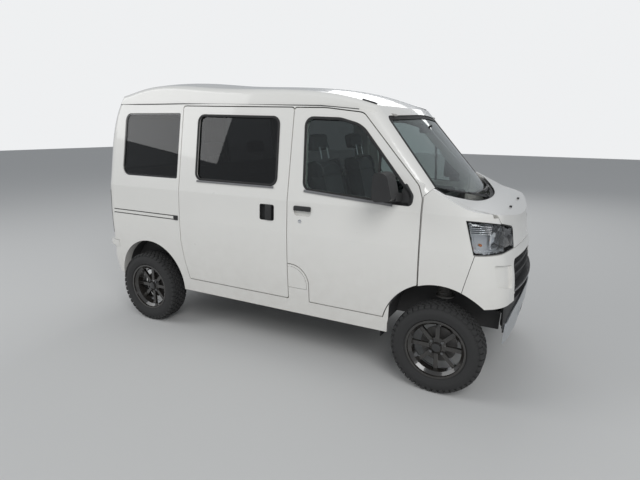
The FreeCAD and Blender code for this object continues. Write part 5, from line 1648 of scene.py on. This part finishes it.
@dataclass
class RearTrim:
    """Tailgate handle and garnish, high brake lamp, and small reflectors."""

    nodes: dict[str, Piece]

    def build(self) -> None:
        """Build the fittings of the van's back."""
        x = self._outer_x("tailgate", 0.0, 0.955)
        bar = block("gate_garnish", (x - 0.020, -0.270, 0.930), (x + 0.006, 0.270, 0.985), 0.008)
        dressed(bar, BODY_PAINT, "tailgate")
        grip = block("gate_handle", (x - 0.018, -0.085, 0.921), (x + 0.004, 0.085, 0.934), 0.004)
        dressed(grip, BLACK_PLASTIC, "tailgate")
        lamps = [block("plate_lamp", (x - 0.014, y - 0.030, 0.922), (x + 0.002, y + 0.030, 0.933), 0.003)
                 for y in (-0.17, 0.17)]
        dressed(joined("plate_lamps", lamps), LAMP_GLASS, "tailgate")
        top = self._outer_x("tailgate", 0.0, 1.760)
        brake = block("high_brake_lamp", (top - 0.016, -0.110, 1.752), (top + 0.004, 0.110, 1.776), 0.005)
        dressed(brake, LAMP_RED, "tailgate")
        low = self._outer_x("rear_bumper", 0.52, 0.56)
        spots = [block("reflector", (low - 0.004, y - 0.045, 0.545), (low + 0.010, y + 0.045, 0.572), 0.003)
                 for y in (-0.52, 0.52)]
        dressed(joined("rear_reflectors", spots), LAMP_RED, "root")

    def _outer_x(self, node: str, y: float, z: float) -> float:
        """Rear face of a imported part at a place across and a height."""
        found = skin_point(self.nodes[node], (-3.0, y, z), (1, 0, 0))
        return found.x if found else -1.66


@dataclass
class Studio:
    """Pale floor, soft lamps and the camera at the photograph's angle."""

    eye: tuple[float, float, float] = (1.8895, -3.4794, 1.6271)
    yaw: float = 0.4826
    pitch: float = 0.2311
    roll: float = 0.011
    lens: float = 26.89
    floor_size: float = 60.0

    def build(self) -> None:
        """Build the floor, lamps, world and camera."""
        self._floor()
        self._world()
        self._lamp("key_lamp", (5.5, -6.5, 6.5), 4.5, 365.0)
        self._lamp("fill_lamp", (-6.0, -4.0, 5.0), 5.0, 150.0)
        self._lamp("back_lamp", (-1.0, 7.0, 6.0), 5.0, 150.0)
        self._camera()
        bpy.context.scene.view_settings.view_transform = "Standard"

    def _floor(self) -> None:
        """Plain pale floor that keeps the van's shadow."""
        deselect()
        bpy.ops.mesh.primitive_plane_add(size=self.floor_size, location=(0, 0, 0))
        floor = bpy.context.object
        floor.name = "studio_floor"
        material = bpy.data.materials.new("pale_floor")
        material.use_nodes = True
        shader = material.node_tree.nodes["Principled BSDF"]
        shader.inputs["Base Color"].default_value = (0.62, 0.62, 0.61, 1.0)
        shader.inputs["Roughness"].default_value = 0.85
        floor.data.materials.append(material)

    def _world(self) -> None:
        """Soft even world light, white where the camera sees it."""
        world = bpy.data.worlds.new("studio_world")
        bpy.context.scene.world = world
        world.use_nodes = True
        nodes, links = world.node_tree.nodes, world.node_tree.links
        background = nodes["Background"]
        background.inputs["Color"].default_value = (0.88, 0.92, 0.97, 1.0)
        background.inputs["Strength"].default_value = 0.42
        seen = nodes.new("ShaderNodeBackground")
        seen.inputs["Color"].default_value = (0.86, 0.87, 0.88, 1.0)
        seen.inputs["Strength"].default_value = 1.0
        rays = nodes.new("ShaderNodeLightPath")
        mix = nodes.new("ShaderNodeMixShader")
        links.new(rays.outputs["Is Camera Ray"], mix.inputs["Fac"])
        links.new(background.outputs["Background"], mix.inputs[1])
        links.new(seen.outputs["Background"], mix.inputs[2])
        links.new(mix.outputs["Shader"], nodes["World Output"].inputs["Surface"])

    def _lamp(self, name: str, place: tuple[float, float, float], side: float, power: float) -> None:
        """Large square lamp that faces the van.

        Args:
            name: Object name.
            place: Its place.
            side: Length of its side.
            power: Its power in watts.
        """
        deselect()
        bpy.ops.object.light_add(type="AREA", location=place)
        lamp = bpy.context.object
        lamp.name = name
        lamp.data.size = side
        lamp.data.energy = power
        lamp.rotation_euler = (Vector((0, 0, 0.9)) - Vector(place)).to_track_quat("-Z", "Y").to_euler()

    def _camera(self) -> None:
        """Camera solved from the photograph."""
        look = Vector((-math.sin(self.yaw) * math.cos(self.pitch), math.cos(self.yaw) * math.cos(self.pitch),
                       -math.sin(self.pitch)))
        level = Vector((math.cos(self.yaw), math.sin(self.yaw), 0.0))
        rise = level.cross(look)
        right = level * math.cos(self.roll) + rise * math.sin(self.roll)
        up = rise * math.cos(self.roll) - level * math.sin(self.roll)
        place = Matrix((right, up, -look)).transposed().to_4x4()
        place.translation = Vector(self.eye)
        deselect()
        bpy.ops.object.camera_add()
        camera = bpy.context.object
        camera.name = "photo_camera"
        camera.matrix_world = place
        camera.data.lens = self.lens
        camera.data.sensor_width = 36.0
        bpy.context.scene.camera = camera


def main() -> None:
    """Build the looks of the van."""
    logging.basicConfig(level=logging.INFO)
    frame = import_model()
    deselect()
    dress_nodes(frame)
    nodes = frame["nodes"]
    Wheels().build()
    SideTrim().build()
    ScreenTrim(nodes).build()
    lamps = LampPair(nodes)
    lamps.headlamps()
    lamps.tail_lamps()
    NoseTrim().build()
    Seats().build()
    Cabin(nodes).build()
    RearTrim(nodes).build()
    Studio().build()
    deselect()


if __name__ == "__main__":
    main()
